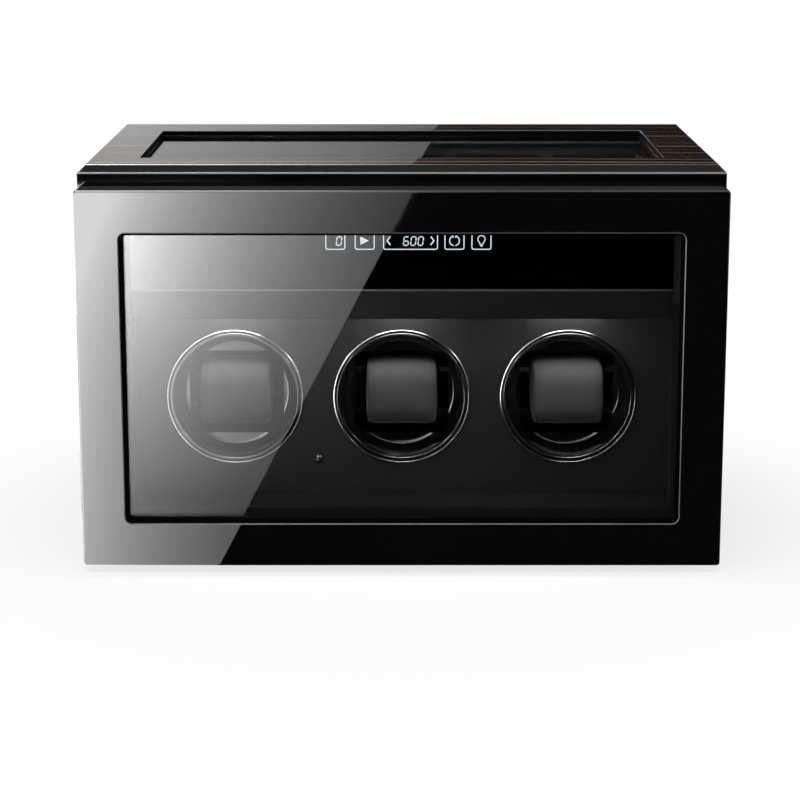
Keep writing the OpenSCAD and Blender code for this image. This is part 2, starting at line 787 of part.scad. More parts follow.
diffuser_w = led_w + 4;
diffuser_h = shelf_z0 - pelmet_z0 - 1;
chip_size = [4, 3, 1.2];
module led_strip() {
    end_space = 8;
    mid_y = lining_y + diffuser_w / 2;
    run = 2 * (lining_x - end_space);
    color("#e8e4cf") {
        block([-run / 2, mid_y - led_w / 2, shelf_z0 - led_t], [run / 2, mid_y + led_w / 2, shelf_z0]);
        for (i = [0 : led_count - 1])
            translate([(i + 0.5) * run / led_count - run / 2, mid_y,
                       shelf_z0 - led_t - chip_size[2] / 2])
                cube(chip_size + [0, 0, EPS], center = true);
    }
}
module led_diffuser() {
    wall = 1.2;
    color("#f2f4f7") difference() {
        block([-lining_x + LIP, lining_y, shelf_z0 - diffuser_h],
              [lining_x - LIP, lining_y + diffuser_w, shelf_z0]);
        block([-lining_x + LIP + wall, lining_y + wall, shelf_z0 - diffuser_h + wall],
              [lining_x - LIP - wall, lining_y + diffuser_w - wall, shelf_z0 + 1]);
    }
}

// ---------- turntables ----------

// Profile of the bowl, r outwards and depth upwards: a quarter-round sweep from the rim inwards
BOWL_STEPS = 16;
function bowl_arc(r_rim, r_floor, y0, y1) =
    [for (k = [0 : BOWL_STEPS]) let (a = 90 * k / BOWL_STEPS)
        [r_floor + (r_rim - r_floor) * cos(a), y0 + (y1 - y0) * sin(a)]];

module pocket_prism(y0, y1, grow) {
    upright(y0, y1 - y0)
        round_rect(pocket_w + 2 * grow, pocket_h + 2 * grow, pocket_r + grow);
}

module drum(x) {
    rim_r = cup_r - cup_wall;
    least_sweep = 3;
    floor_rim = 5;                      // bowl's floor beyond the pocket
    floor_r = min(rim_r - least_sweep, pocket_h / 2 + floor_rim);
    shell_set = 4;                      // pocket's outer walls behind the rim
    rib_l = (pocket_w - cushion_w) / 2 - cushion_clear;
    rib_t = 3;
    rib_set = 4;                        // ribs behind the bowl's floor
    rib_y0 = cup_y + bowl_depth + rib_set;
    rib_y1 = cup_y + pocket_depth + cup_floor_t / 2;
    color("#0a0a0c") translate([x, 0, axis_z]) {
        difference() {
            union() {
                translate([0, cup_y, 0]) rotate([-90, 0, 0])
                    rotate_extrude() polygon(concat([[0, 0], [cup_r, 0]],
                        bowl_arc(cup_r, floor_r + cup_wall, bowl_depth / 3, bowl_depth + cup_wall),
                        [[0, bowl_depth + cup_wall]]));
                intersection() {
                    pocket_prism(cup_y + shell_set, cup_back_y, cup_wall);
                    rod_y(0, 0, cup_y, cup_back_y, cup_r);
                }
                rod_y(0, 0, cup_back_y - EPS, cup_back_y + hub_l, hub_r);
            }
            translate([0, cup_y, 0]) rotate([-90, 0, 0])
                rotate_extrude() polygon(concat([[0, -1], [rim_r, -1]],
                    bowl_arc(rim_r, floor_r, 0, bowl_depth), [[0, bowl_depth]]));
            pocket_prism(cup_y + 1, cup_y + pocket_depth, 0);
        }
        // ribs on the pocket's sides hold the cushion
        for (s = [-1, 1], z = [-pocket_h / 4, pocket_h / 4])
            translate([s * (pocket_w - rib_l + cup_wall / 2) / 2, (rib_y0 + rib_y1) / 2, z])
                cube([rib_l + cup_wall / 2, rib_y1 - rib_y0, rib_t], center = true);
        // shaft through the bearing, with the collar that keeps it there
        rod_y(0, 0, cup_back_y + 1, shaft_end_y, shaft_r);
        rod_y(0, 0, bulkhead_y1 + bush_tail + SEAT, bulkhead_y1 + bush_tail + SEAT + collar_t,
              shaft_r + collar_wall);
    }
}
shaft_end_y = bulkhead_y1 + bush_tail + SEAT + collar_t + 2;
module drum_left() drum(cup_xs[0]);
module drum_middle() drum(cup_xs[1]);
module drum_right() drum(cup_xs[2]);

module drum_gear(x) {
    web_r = gear_pitch_r - 2.4 * gear_m;
    boss_r = shaft_r + 5;
    hole_r = (web_r - boss_r) / 2 - 1;
    hole_at = (web_r + boss_r) / 2;
    color("#d9d6cc") translate([x, gear_y + gear_face, axis_z]) rotate([90, 0, 0]) difference() {
        linear_extrude(gear_face) gear_outline(gear_teeth, 0);
        translate([0, 0, -EPS]) cylinder(h = gear_face + 1, r = shaft_r);
        for (k = [0 : 5]) rotate(k * 60) translate([hole_at, 0, -EPS])
            cylinder(h = gear_face + 1, r = hole_r);
    }
}
module drum_gear_left() drum_gear(cup_xs[0]);
module drum_gear_middle() drum_gear(cup_xs[1]);
module drum_gear_right() drum_gear(cup_xs[2]);

module cushion(x) {
    color("#8f8f92") translate([x - cushion_w / 2, cup_y + pocket_depth, axis_z])
        rotate([90, 0, 90]) linear_extrude(cushion_w)
            translate([-cushion_l / 2 - cushion_clear, 0]) round_rect(cushion_l, cushion_h, cushion_r);
}
module cushion_left() cushion(cup_xs[0]);
module cushion_middle() cushion(cup_xs[1]);
module cushion_right() cushion(cup_xs[2]);

// ---------- drive ----------

module at_motors() {
    for (x = cup_xs) translate([x, 0, motor_z]) children();
}

module drive_bulkhead() {
    shaft_room = 3;
    color("#4a4136") difference() {
        block([-inner_x, bulkhead_y, floor_z], [inner_x, bulkhead_y1, shelf_z0]);
        for (x = cup_xs) rod_y(x, axis_z, bulkhead_y - 1, bulkhead_y1 + 1, shaft_r + bush_wall);
        at_motors() {
            rod_y(0, 0, bulkhead_y - 1, bulkhead_y1 + 1, motor_shaft_r + shaft_room);
            motor_fixings(SCREW_CLEAR);
        }
    }
}

module drum_bearings() {
    color("#c9a24a") for (x = cup_xs) difference() {
        union() {
            rod_y(x, axis_z, bulkhead_y, bulkhead_y1 + bush_tail, shaft_r + bush_wall);
            rod_y(x, axis_z, bulkhead_y - bush_flange_t, bulkhead_y,
                  shaft_r + bush_wall + bush_flange_w);
        }
        rod_y(x, axis_z, bulkhead_y - bush_flange_t - 1, bulkhead_y1 + bush_tail + 1,
              shaft_r + shaft_clear);
    }
}

module motor_pinion(x) {
    phase = 90 + 180 / pinion_teeth;
    color("#c9c5b8") translate([x, 0, motor_z]) {
        translate([0, gear_y + gear_face, 0]) rotate([90, 0, 0])
            linear_extrude(gear_face) gear_outline(pinion_teeth, phase);
        rod_y(0, 0, gear_y + gear_face - EPS, bulkhead_y1 + motor_socket - 1, motor_shaft_r);
    }
}
module motor_pinion_left() motor_pinion(cup_xs[0]);
module motor_pinion_middle() motor_pinion(cup_xs[1]);
module motor_pinion_right() motor_pinion(cup_xs[2]);

motor_ear_x = motor_head_r + 3;
motor_ear_t = 2;
motor_ear_r = 4;
motor_ear_h = 10;
module motor_fixings(grow = 0) {
    for (s = [-1, 1]) translate([s * motor_ear_x, bulkhead_y1 + motor_ear_t, 0]) rotate([-90, 0, 0])
        screw(motor_screw_l, small_screw_r, grow);
}
module drive_motors() {
    head_y1 = bulkhead_y1 + motor_head_l;
    boss_r = 4;
    boss_l = 2;
    color("#a4a6a9") at_motors() difference() {
        union() {
            rod_y(0, 0, bulkhead_y1, head_y1, motor_head_r);
            rod_y(0, 0, head_y1 - EPS, head_y1 + motor_can_l, motor_can_r);
            rod_y(0, 0, head_y1 + motor_can_l - EPS, head_y1 + motor_can_l + boss_l, boss_r);
            upright(bulkhead_y1, motor_ear_t)
                round_rect(2 * (motor_ear_x + motor_ear_r), motor_ear_h, motor_ear_r);
        }
        rod_y(0, 0, bulkhead_y1 - 1, bulkhead_y1 + motor_socket, motor_shaft_r + shaft_clear);
        motor_fixings(SCREW_CLEAR);
    }
}
module motor_screws() color("#8d8f92") at_motors() motor_fixings();

module control_board() {
    board_w = 92;
    board_h = 34;
    board_t = 1.6;
    board_drop = 6;                     // under the shelf
    stand = 5;
    stand_r = 2.5;
    stand_inset = 5;
    processor = [12, 12, 2];
    processor_at = [-16, 3];
    terminal = [6, 6, 7];
    terminals = 5;
    terminal_step = 7.5;
    terminal_at = [12, -9];
    capacitor_r = 3.5;
    capacitor_l = 10.4;
    capacitor_xs = [8, 22];
    capacitor_up = 8;
    board_z = shelf_z0 - board_h / 2 - board_drop;
    y = bulkhead_y1 + stand;
    face_y = y + board_t - EPS;
    color("#1f4d2e") {
        translate([0, 0, board_z]) upright(y, board_t) square([board_w, board_h], center = true);
        for (sx = [-1, 1], sz = [-1, 1])
            rod_y(sx * (board_w / 2 - stand_inset), board_z + sz * (board_h / 2 - stand_inset),
                  bulkhead_y1, y + EPS, stand_r);
        translate([processor_at[0], 0, board_z + processor_at[1]])
            upright(face_y, processor[2]) square([processor[0], processor[1]], center = true);
        for (i = [0 : terminals - 1])
            translate([terminal_at[0] + i * terminal_step, 0, board_z + terminal_at[1]])
                upright(face_y, terminal[2]) square([terminal[0], terminal[1]], center = true);
        for (x = capacitor_xs)
            rod_y(x, board_z + capacitor_up, face_y, y + board_t + capacitor_l, capacitor_r);
    }
}

inlet_rim = 2;                          // flange and nut beyond the inlet's neck
module power_inlet() {
    z = floor_z + inlet_z;
    inner_y = case_y1 - service_t;
    flange_t = 1.2;
    nut_t = 2.5;
    tail = 8;
    bore_l = 9;
    contact_r = 1;
    contact_set = 0.5;                  // contact pin behind the face of the case
    color("#141416") difference() {
        union() {
            rod_y(inlet_x, z, case_y1, case_y1 + flange_t, inlet_r);
            rod_y(inlet_x, z, inner_y - tail, case_y1 + EPS, inlet_r - inlet_rim);
            rod_y(inlet_x, z, inner_y - nut_t, inner_y, inlet_r);
        }
        difference() {
            rod_y(inlet_x, z, case_y1 - bore_l, case_y1 + flange_t + 1, inlet_bore_r);
            rod_y(inlet_x, z, case_y1 - bore_l - 1, case_y1 - contact_set, contact_r);
        }
    }
}

// ---------- storage tray ----------

module tray_insert() {
    x = tray_x;
    color("#2b2b2e") difference() {
        block([-x, tray_y0, shelf_z1], [x, tray_y1, deck_z]);
        // the hollow under the deck, round the pockets
        difference() {
            block([-x + tray_wall, tray_y0 + tray_wall, shelf_z1 - 1],
                  [x - tray_wall, tray_y1 - tray_wall, deck_z - deck_t]);
            translate([0, slot_y, slot_floor_z - tray_wall]) linear_extrude(deck_z)
                round_rect((slots - 1) * slot_pitch + slot_w + 2 * tray_wall,
                           slot_l + 2 * tray_wall, slot_r + tray_wall);
        }
        for (sx = slot_xs) translate([sx, slot_y, slot_floor_z])
            linear_extrude(slot_depth + 1) round_rect(slot_w, slot_l, slot_r);
    }
}

module storage_cushions() {
    pad_h = pad_top - slot_floor_z;
    color("#8f8f92") for (sx = slot_xs)
        translate([sx - pad_w / 2, slot_y, slot_floor_z + pad_h / 2])
            rotate([90, 0, 90]) linear_extrude(pad_w) round_rect(pad_l, pad_h, pad_r);
}

side_panel_left();
side_panel_right();
base_panel();
mid_shelf();
tray_rear_wall();
tray_front_rail();
service_panel();
service_panel_screws();
feet();
foot_screws();
door_frame();
door_glass();
door_glass_bead();
door_hinge_case_leaves();
door_hinge_door_leaves();
door_hinge_pins();
door_magnets();
door_strikes();
lid_frame();
lid_glass();
lid_glass_bead();
lid_hinge_case_leaves();
lid_hinge_lid_leaves();
lid_hinge_pins();
hinge_screws_case();
hinge_screws_door();
hinge_screws_lid();
side_lining_left();
side_lining_right();
platform();
turntable_panel();
turntable_bezels();
sensor_lens();
pelmet();
fascia_trim();
control_fascia();
display_module();
led_strip();
led_diffuser();
drive_bulkhead();
drum_bearings();
control_board();
power_inlet();
drum_left();
drum_middle();
drum_right();
drum_gear_left();
drum_gear_middle();
drum_gear_right();
cushion_left();
cushion_middle();
cushion_right();
motor_pinion_left();
motor_pinion_middle();
motor_pinion_right();
drive_motors();
motor_screws();
tray_insert();
storage_cushions();
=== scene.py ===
"""Dresses a three-watch winder box: piano-lacquered joinery with eased arrises, an ebony-veneered
lid, glass, suede watch cushions, the lit display, and a pale studio with its reflectors."""

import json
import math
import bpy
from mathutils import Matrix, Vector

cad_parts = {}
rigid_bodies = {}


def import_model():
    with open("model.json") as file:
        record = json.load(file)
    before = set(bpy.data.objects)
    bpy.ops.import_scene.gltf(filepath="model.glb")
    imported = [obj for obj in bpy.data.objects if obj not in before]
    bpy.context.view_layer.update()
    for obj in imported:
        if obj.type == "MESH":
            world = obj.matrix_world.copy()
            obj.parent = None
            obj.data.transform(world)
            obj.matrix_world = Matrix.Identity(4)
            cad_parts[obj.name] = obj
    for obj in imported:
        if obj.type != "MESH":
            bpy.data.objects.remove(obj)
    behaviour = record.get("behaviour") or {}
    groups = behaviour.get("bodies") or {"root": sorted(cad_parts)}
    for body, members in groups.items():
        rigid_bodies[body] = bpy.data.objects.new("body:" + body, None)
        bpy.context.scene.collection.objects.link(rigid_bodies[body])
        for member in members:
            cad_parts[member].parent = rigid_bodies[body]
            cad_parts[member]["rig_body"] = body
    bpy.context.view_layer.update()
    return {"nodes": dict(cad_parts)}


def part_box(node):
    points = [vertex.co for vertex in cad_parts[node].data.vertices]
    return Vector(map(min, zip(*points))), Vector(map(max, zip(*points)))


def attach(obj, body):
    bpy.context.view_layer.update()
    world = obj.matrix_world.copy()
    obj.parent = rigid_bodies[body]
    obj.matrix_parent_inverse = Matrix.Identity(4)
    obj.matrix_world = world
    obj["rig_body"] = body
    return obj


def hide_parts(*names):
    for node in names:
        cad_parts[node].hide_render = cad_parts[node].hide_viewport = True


bl_info = {
    "name": "Watch Winder Box",
    "version": (1, 0, 0),
    "blender": (4, 5, 0),
    "location": "View3D > Sidebar > Winder Box",
    "description": "Finishes, cushions, display and studio for a three-watch winder box",
    "category": "Object",
}

import bmesh
import bpy
from bpy.props import FloatProperty, FloatVectorProperty, IntProperty, PointerProperty
from mathutils import Matrix, Vector

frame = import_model()

MM = 0.001
TOUCH = 0.02 * MM  # two corners nearer than this are one
FLAT = math.radians(0.4)  # faces that fold by less are joined into one
FOLDED = math.radians(30)  # an edge that folds by more can be eased
SHARP = math.radians(32)  # an edge that folds by more is shaded sharp
LEVEL = 0.9999  # a face is level where its normal rises by more than this
FRONT, BACK, TOP = (1, 0), (1, 1), (2, 1)  # faces of a piece's box: their axis, and 1 where high
SEEN_RAYS = ("Is Camera Ray", "Is Glossy Ray", "Is Transmission Ray")  # these see a white studio
DOOR_LO, DOOR_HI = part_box("door_frame")
LID_LO, LID_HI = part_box("lid_frame")
CASE_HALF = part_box("side_panel_right")[1].x
TURNTABLES = ("left", "middle", "right")
# Pale lines of the veneer: millimetres behind the box's middle, half width, strength
VENEER_LINES = ((112, 2.0, 0.5), (96, 1.5, 0.3), (74, 2.0, 0.45), (50, 2.8, 0.7), (30, 1.6, 0.2),
                (12, 1.6, 0.2), (-6, 3.6, 1.0), (-24, 1.5, 0.25), (-41, 2.6, 0.6), (-60, 1.6, 0.25),
                (-76, 2.6, 0.55), (-92, 3.0, 1.0))
# The display, in millimetres: its boxes, digits and marks, from the middle of the boxes' feet
BOX_MIDDLES = {"count": -44.3, "run": -27.0, "turns": 0.0, "direction": 25.9, "light": 41.8}
BOX_HIGH, BOX_NARROW, BOX_WIDE, BOX_CORNER, BOX_GAP = 10.6, 11.2, 31.8, 1.1, 1.6
DIGIT_WIDE, DIGIT_HIGH, DIGIT_SLANT, DIGIT_FOOT, DIGIT_PITCH = 2.8, 5.0, 0.12, 2.4, 4.3
MARK = 5.1  # height of the marks' middles
DISPLAY_RIGHT, DISPLAY_DROP = 5.1, 22.1  # from the panel's middle, and from its top to the feet


# ---------- sizes and colours ----------


class WinderCabinetSettings(bpy.types.PropertyGroup):
    lacquer: FloatVectorProperty(
        name="Lacquer", description="Colour of the piano lacquer", subtype="COLOR",
        size=3, min=0, max=1, default=(0.0025, 0.0025, 0.003))
    door_arris: FloatProperty(
        name="Door arris", description="Rounding of the door's front edges", subtype="DISTANCE",
        unit="LENGTH", min=0.0002, max=0.0018, default=0.001)
    window_arris: FloatProperty(
        name="Window arris", description="Rounding of the front edges of the door's window",
        subtype="DISTANCE", unit="LENGTH", min=0.0002, max=0.0015, default=0.0006)
    lid_arris: FloatProperty(
        name="Lid arris", description="Rounding of the lid's edges", subtype="DISTANCE",
        unit="LENGTH", min=0.0002, max=0.0015, default=0.0006)
    case_arris: FloatProperty(
        name="Case arris", description="Rounding of the case's edges", subtype="DISTANCE",
        unit="LENGTH", min=0.0002, max=0.002, default=0.0009)
    veneer_ground: FloatVectorProperty(
        name="Veneer ground", description="Darkest figure of the ebony", subtype="COLOR",
        size=3, min=0, max=1, default=(0.011, 0.0075, 0.005))
    veneer_line: FloatVectorProperty(
        name="Veneer line", description="Palest line in the ebony", subtype="COLOR",
        size=3, min=0, max=1, default=(0.58, 0.31, 0.16))


class WinderSoftSettings(bpy.types.PropertyGroup):
    suede: FloatVectorProperty(
        name="Suede", description="Colour of the watch cushions", subtype="COLOR",
        size=3, min=0, max=1, default=(0.03, 0.03, 0.032))
    voxel: FloatProperty(
        name="Cushion mesh", description="Mesh size of a cushion before it is filled",
        subtype="DISTANCE", unit="LENGTH", min=0.0015, max=0.006, default=0.0028)
    filling: FloatProperty(
        name="Filling", description="Pressure of the cushion filling", min=0, max=12, default=4)
    swell: FloatProperty(
        name="Swell", description="Furthest that the cloth may swell", subtype="DISTANCE",
        unit="LENGTH", min=0, max=0.01, default=0.0026)
    steps: IntProperty(
        name="Steps", description="Frames of cloth simulation", min=1, max=60, default=20)


class WinderDisplaySettings(bpy.types.PropertyGroup):
    glow: FloatVectorProperty(
        name="Glow", description="Colour of the lit symbols", subtype="COLOR",
        size=3, min=0, max=1, default=(0.74, 0.82, 0.92))
    brightness: FloatProperty(
        name="Brightness", description="Strength of the lit symbols", min=0, max=10, default=1.1)
    stroke: FloatProperty(
        name="Stroke", description="Width of the symbols' lines", subtype="DISTANCE",
        unit="LENGTH", min=0.0002, max=0.002, default=0.0007)
    cabin_light: FloatProperty(
        name="Cabin light", description="Strength of the light behind the pelmet",
        min=0, max=120, default=60.0)


class WinderStudioSettings(bpy.types.PropertyGroup):
    lens: FloatProperty(
        name="Lens", description="Focal length on a 36 mm sensor", unit="CAMERA",
        min=20, max=300, default=106.38)
    eye: FloatVectorProperty(
        name="Eye", description="Place of the camera", subtype="XYZ", unit="LENGTH",
        size=3, default=(-0.0011, -1.481, 0.4131))
    pitch: FloatProperty(
        name="Pitch", description="Tilt of the camera below the horizon", subtype="ANGLE",
        unit="ROTATION", default=math.radians(12.762))
    floor: FloatVectorProperty(
        name="Floor", description="Colour of the floor", subtype="COLOR",
        size=3, min=0, max=1, default=(0.86, 0.86, 0.865))
    reflector: FloatProperty(
        name="Reflector", description="Brightness of the long reflector at its left end",
        min=0, max=30, default=8.6)


# ---------- finishes ----------


class Nodes:
    """Adds nodes to one tree, and sets or links their sockets."""

    def __init__(self, tree):
        self.tree = tree

    def put(self, socket, value):
        if isinstance(value, bpy.types.NodeSocket):
            self.tree.links.new(value, socket)
        elif socket.type == "RGBA":
            socket.default_value = (*value[:3], 1.0)
        else:
            socket.default_value = value

    def node(self, kind, sockets=None, **settings):
        made = self.tree.nodes.new("ShaderNode" + kind)
        for name, value in settings.items():
            setattr(made, name, value)
        for name, value in (sockets or {}).items():
            self.put(made.inputs[name], value)
        return made

    def sums(self, operation, a, b=0.0, c=0.0):
        return self.node("Math", {0: a, 1: b, 2: c}, operation=operation).outputs[0]

    def light_path(self, *rays):
        """1 for any of these kinds of ray."""
        path = self.node("LightPath").outputs
        found = path[rays[0]]
        for ray in rays[1:]:
            found = self.sums("MAXIMUM", found, path[ray])
        return found

    def show(self, output, fac, first, second):
        """Shows a mix of two shaders, the second alone where fac is 1."""
        mixed = self.node("MixShader", {"Fac": fac, 1: first.outputs[0], 2: second.outputs[0]})
        self.put(output.inputs["Surface"], mixed.outputs[0])


class Finish(Nodes):
    """One material: its shader, and the nodes that shape it, all on the piece's own coordinates."""

    def __init__(self, name, **sockets):
        self.material = bpy.data.materials.new(name)
        self.material.use_nodes = True
        super().__init__(self.material.node_tree)
        self.shader = self.tree.nodes["Principled BSDF"]
        self.output = self.tree.nodes["Material Output"]
        self.give(**sockets)

    def give(self, **sockets):
        """Sets or links the shader's sockets, each written with _ for its spaces."""
        for name, value in sockets.items():
            self.put(self.shader.inputs[name.replace("_", " ")], value)

    def own(self, stretch=(1, 1, 1)):
        """The piece's own coordinates, stretched."""
        place = self.node("TexCoord").outputs["Object"]
        return self.node("Mapping", {"Vector": place, "Scale": stretch}).outputs[0]

    def along(self, axis):
        """The piece's own X, Y or Z."""
        return self.node("SeparateXYZ", {0: self.own()}).outputs[axis]

    def noise(self, scale, detail, stretch=(1, 1, 1), distortion=0.0):
        return self.node("TexNoise", {"Vector": self.own(stretch), "Scale": scale, "Detail": detail,
                                      "Distortion": distortion}).outputs["Fac"]

    def cells(self, scale, feature):
        return self.node("TexVoronoi", {"Vector": self.own(), "Scale": scale},
                         feature=feature).outputs["Distance"]

    def between(self, fac, low, high, start=0.0, end=1.0):
        """Turns start..end of fac into low..high."""
        return self.node("MapRange", {"Value": fac, "From Min": start, "From Max": end,
                                      "To Min": low, "To Max": high}).outputs[0]

    def tones(self, fac, *stops):
        """A colour ramp through (place, colour) stops."""
        ramp = self.node("ValToRGB", {"Fac": fac})
        line = ramp.color_ramp
        while len(line.elements) < len(stops):
            line.elements.new(1.0)
        for element, (place, colour) in zip(line.elements, stops):
            element.position = place
            element.color = (*colour[:3], 1.0)
        return ramp.outputs[0]

    def tint(self, fac, first, second):
        """A colour between two others, the second where fac is 1."""
        return self.node("Mix", {"Factor": fac, 6: first, 7: second}, data_type="RGBA").outputs[2]

    def bump(self, height, distance, strength, under=None):
        sockets = {"Height": height, "Distance": distance, "Strength": strength}
        if under is not None:
            sockets["Normal"] = under
        return self.node("Bump", sockets).outputs[0]


def shade(colour, factor):
    return tuple(min(1.0, c * factor) for c in colour[:3])


def lacquer_finish(name, colour, polish=0.02):
    """Polished lacquer under a clear coat, with a trace of hand polishing in it."""
    f = Finish(name, Specular_IOR_Level=0.5, Coat_Weight=1.0, Coat_IOR=1.5, Coat_Roughness=0.012)
    haze = f.noise(14.0, 4.0)
    f.give(Base_Color=f.tones(haze, (0.3, colour), (0.7, shade(colour, 1.25))),
           Roughness=f.between(haze, polish, polish * 2.2, 0.3, 0.7),
           Normal=f.bump(f.noise(240.0, 2.0), 0.012 * MM, 0.35))
    return f.material


def veneer_finish(settings):
    """Macassar ebony laid along the box: dark figure with a few pale lines, under clear lacquer."""
    f = Finish("ebony_veneer", Specular_IOR_Level=0.5, Coat_Weight=1.0, Coat_IOR=1.5,
               Coat_Roughness=0.02)
    ground, line = settings.veneer_ground, settings.veneer_line

    def grain(scale, detail, draw):
        """Noise drawn out along the box."""
        return f.noise(scale, detail, (draw, 1.0, 1.0))

    sway = f.between(grain(5.0, 1.0, 0.5), -6 * MM, 6 * MM, 0.3, 0.7)
    ragged = f.between(grain(260.0, 2.0, 0.012), -0.9 * MM, 0.9 * MM, 0.25, 0.75)
    across = f.sums("ADD", f.sums("ADD", f.along("Y"), sway), ragged)
    whole, gone = 0.4, 1.1  # shares of a line's half width, between which it fades
    drawn = 0.0
    for place, half, strength in VENEER_LINES:
        away = f.sums("ABSOLUTE", f.sums("SUBTRACT", across, place * MM))
        one = f.between(away, strength, 0.0, half * whole * MM, half * gone * MM)
        drawn = f.sums("MAXIMUM", one, drawn)
    worn = f.between(grain(14.0, 1.0, 0.12), 0.4, 1.0, 0.40, 0.52)
    fibre = grain(420.0, 2.0, 0.01)
    split = f.sums("MULTIPLY", worn, f.between(fibre, 0.55, 1.25, 0.36, 0.56))
    cloud = grain(24.0, 3.0, 0.025)
    dark = f.tones(cloud, (0.36, ground), (0.47, shade(ground, 1.5)), (0.51, shade(ground, 0.8)),
                   (0.56, shade(ground, 2.6)), (0.62, ground))
    dark = f.tint(f.between(fibre, 0.0, 0.09, 0.5, 0.62), dark, line)
    f.give(Base_Color=f.tint(f.sums("MULTIPLY", drawn, split), dark, line),
           Roughness=f.between(cloud, 0.18, 0.3))
    return f.material


def glass_finish(name, ior, reflection_rise=None):
    """Clear float glass. Lamps shine through it without a caustic. A clear coat can make it mirror
    more with height, a painted reflection:
    its weights low and high, and the heights between which it grows."""
    tint = (0.975, 0.985, 0.985)
    f = Finish(name, Base_Color=tint, Transmission_Weight=1.0, IOR=ior)
    if reflection_rise:
        f.give(Coat_Weight=f.between(f.along("Z"), *reflection_rise), Coat_IOR=1.8, Coat_Roughness=0.0)
    f.give(Roughness=f.between(f.noise(9.0, 2.0), 0.0, 0.003, 0.35, 0.65))
    f.show(f.output, f.light_path("Is Shadow Ray", "Is Diffuse Ray"), f.shader,
           f.node("BsdfTransparent", {"Color": tint}))
    return f.material


def leatherette_finish(name, colour, grain=0.05 * MM, roughness=0.46, level=0.15):
    """Fine-grained leatherette: pebbled cells with soft valleys and an uneven dull sheen."""
    f = Finish(name, Specular_IOR_Level=level)
    pebble = f.cells(1150.0, "SMOOTH_F1")
    patch = f.noise(18.0, 4.0)
    f.give(Base_Color=f.tones(f.sums("MULTIPLY_ADD", pebble, 0.6, patch),
                              (0.35, shade(colour, 0.8)), (0.9, shade(colour, 1.2))),
           Roughness=f.between(patch, roughness - 0.06, roughness + 0.08),
           Normal=f.bump(pebble, grain, 0.7, f.bump(f.noise(90.0, 2.0), 0.08 * MM, 0.3)))
    return f.material


def suede_finish(name, colour, nap=0.12 * MM, sheen=0.35):
    """Brushed microsuede: short nap, cloudy where it was stroked."""
    f = Finish(name, Specular_IOR_Level=0.15, Sheen_Weight=sheen, Sheen_Roughness=0.45,
               Sheen_Tint=shade(colour, 3.5))
    fibres = f.noise(2600.0, 3.0, (1.0, 0.55, 1.0))
    cloud = f.noise(55.0, 4.0, distortion=0.8)
    f.give(Base_Color=f.tones(f.sums("MULTIPLY_ADD", fibres, 0.45, f.sums("MULTIPLY", cloud, 0.55)),
                              (0.32, shade(colour, 0.72)), (0.5, colour),
                              (0.7, shade(colour, 1.3))),
           Roughness=f.between(cloud, 0.82, 0.97),
           Normal=f.bump(fibres, nap, 0.55))
    return f.material


def metal_finish(name, colour, roughness, brush=(1, 1, 1), scale=400.0, depth=0.004 * MM):
    """Metal with its brushing, rolling or plating marks along one direction."""
    f = Finish(name, Metallic=1.0)
    marks = f.noise(scale, 3.0, brush)
    wear = f.noise(35.0, 3.0)
    f.give(Base_Color=f.tones(f.sums("MULTIPLY", f.sums("ADD", marks, wear), 0.5),
                              (0.3, shade(colour, 0.82)), (0.7, shade(colour, 1.06))),
           Roughness=f.between(marks, roughness * 0.75, roughness * 1.35),
           Normal=f.bump(marks, depth, 0.5))
    return f.material


def moulded_finish(name, colour, roughness=0.4, grain=0.01 * MM, scale=700.0, level=0.5):
    """Moulded, painted or cast surface with a faint texture."""
    f = Finish(name, Specular_IOR_Level=level)
    speck = f.noise(scale, 2.0)
    patch = f.noise(24.0, 3.0)
    f.give(Base_Color=f.tones(patch, (0.35, shade(colour, 0.88)), (0.65, shade(colour, 1.1))),
           Roughness=f.between(speck, roughness * 0.85, roughness * 1.15),
           Normal=f.bump(speck, grain, 0.5))
    return f.material


def board_finish(name, colour, roughness=0.55):
    """Fibreboard sealed with thin paint, its fibres just felt through it."""
    f = Finish(name, Specular_IOR_Level=0.35)
    fibre = f.noise(320.0, 5.0, (0.6, 1.0, 1.3), 1.0)
    f.give(Base_Color=f.tones(fibre, (0.3, shade(colour, 0.75)), (0.7, shade(colour, 1.25))),
           Roughness=f.between(fibre, roughness - 0.08, roughness + 0.1),
           Normal=f.bump(fibre, 0.04 * MM, 0.5))
    return f.material


def circuit_finish():
    """Green circuit board: solder mask with darker laminate between its tracks."""
    f = Finish("circuit_board", Specular_IOR_Level=0.5)
    tracks = f.cells(190.0, "DISTANCE_TO_EDGE")
    f.give(Base_Color=f.tones(tracks, (0.02, (0.03, 0.11, 0.04)), (0.06, (0.008, 0.05, 0.018))),
           Roughness=f.between(tracks, 0.25, 0.42, 0.0, 0.2),
           Normal=f.bump(tracks, 0.05 * MM, 0.4))
    return f.material


def opal_finish(glow, strength, pitch):
    """Opal plastic, lit from inside over the middle of each turntable and dull between them."""
    f = Finish("opal_light", Base_Color=(0.85, 0.87, 0.9), Roughness=0.5, Emission_Color=glow)
    aside = f.sums("PINGPONG", f.along("X"), pitch / 2)
    f.give(Emission_Strength=f.between(aside, strength, strength * 0.001, 4 * MM, 27 * MM))
    return f.material


def symbol_finish(glow, strength):
    """Lit symbols of the display, with the faint unevenness of their mask."""
    f = Finish("symbol_light", Base_Color=(0.02, 0.02, 0.02), Roughness=0.3,
               Emission_Strength=strength)
    f.give(Emission_Color=f.tones(f.noise(260.0, 2.0), (0.3, shade(glow, 0.9)), (0.7, glow)))
    return f.material


# ---------- shaping ----------


def added(name, data):
    """A new object in the scene."""
    made = bpy.data.objects.new(name, data)
    bpy.context.scene.collection.objects.link(made)
    return made


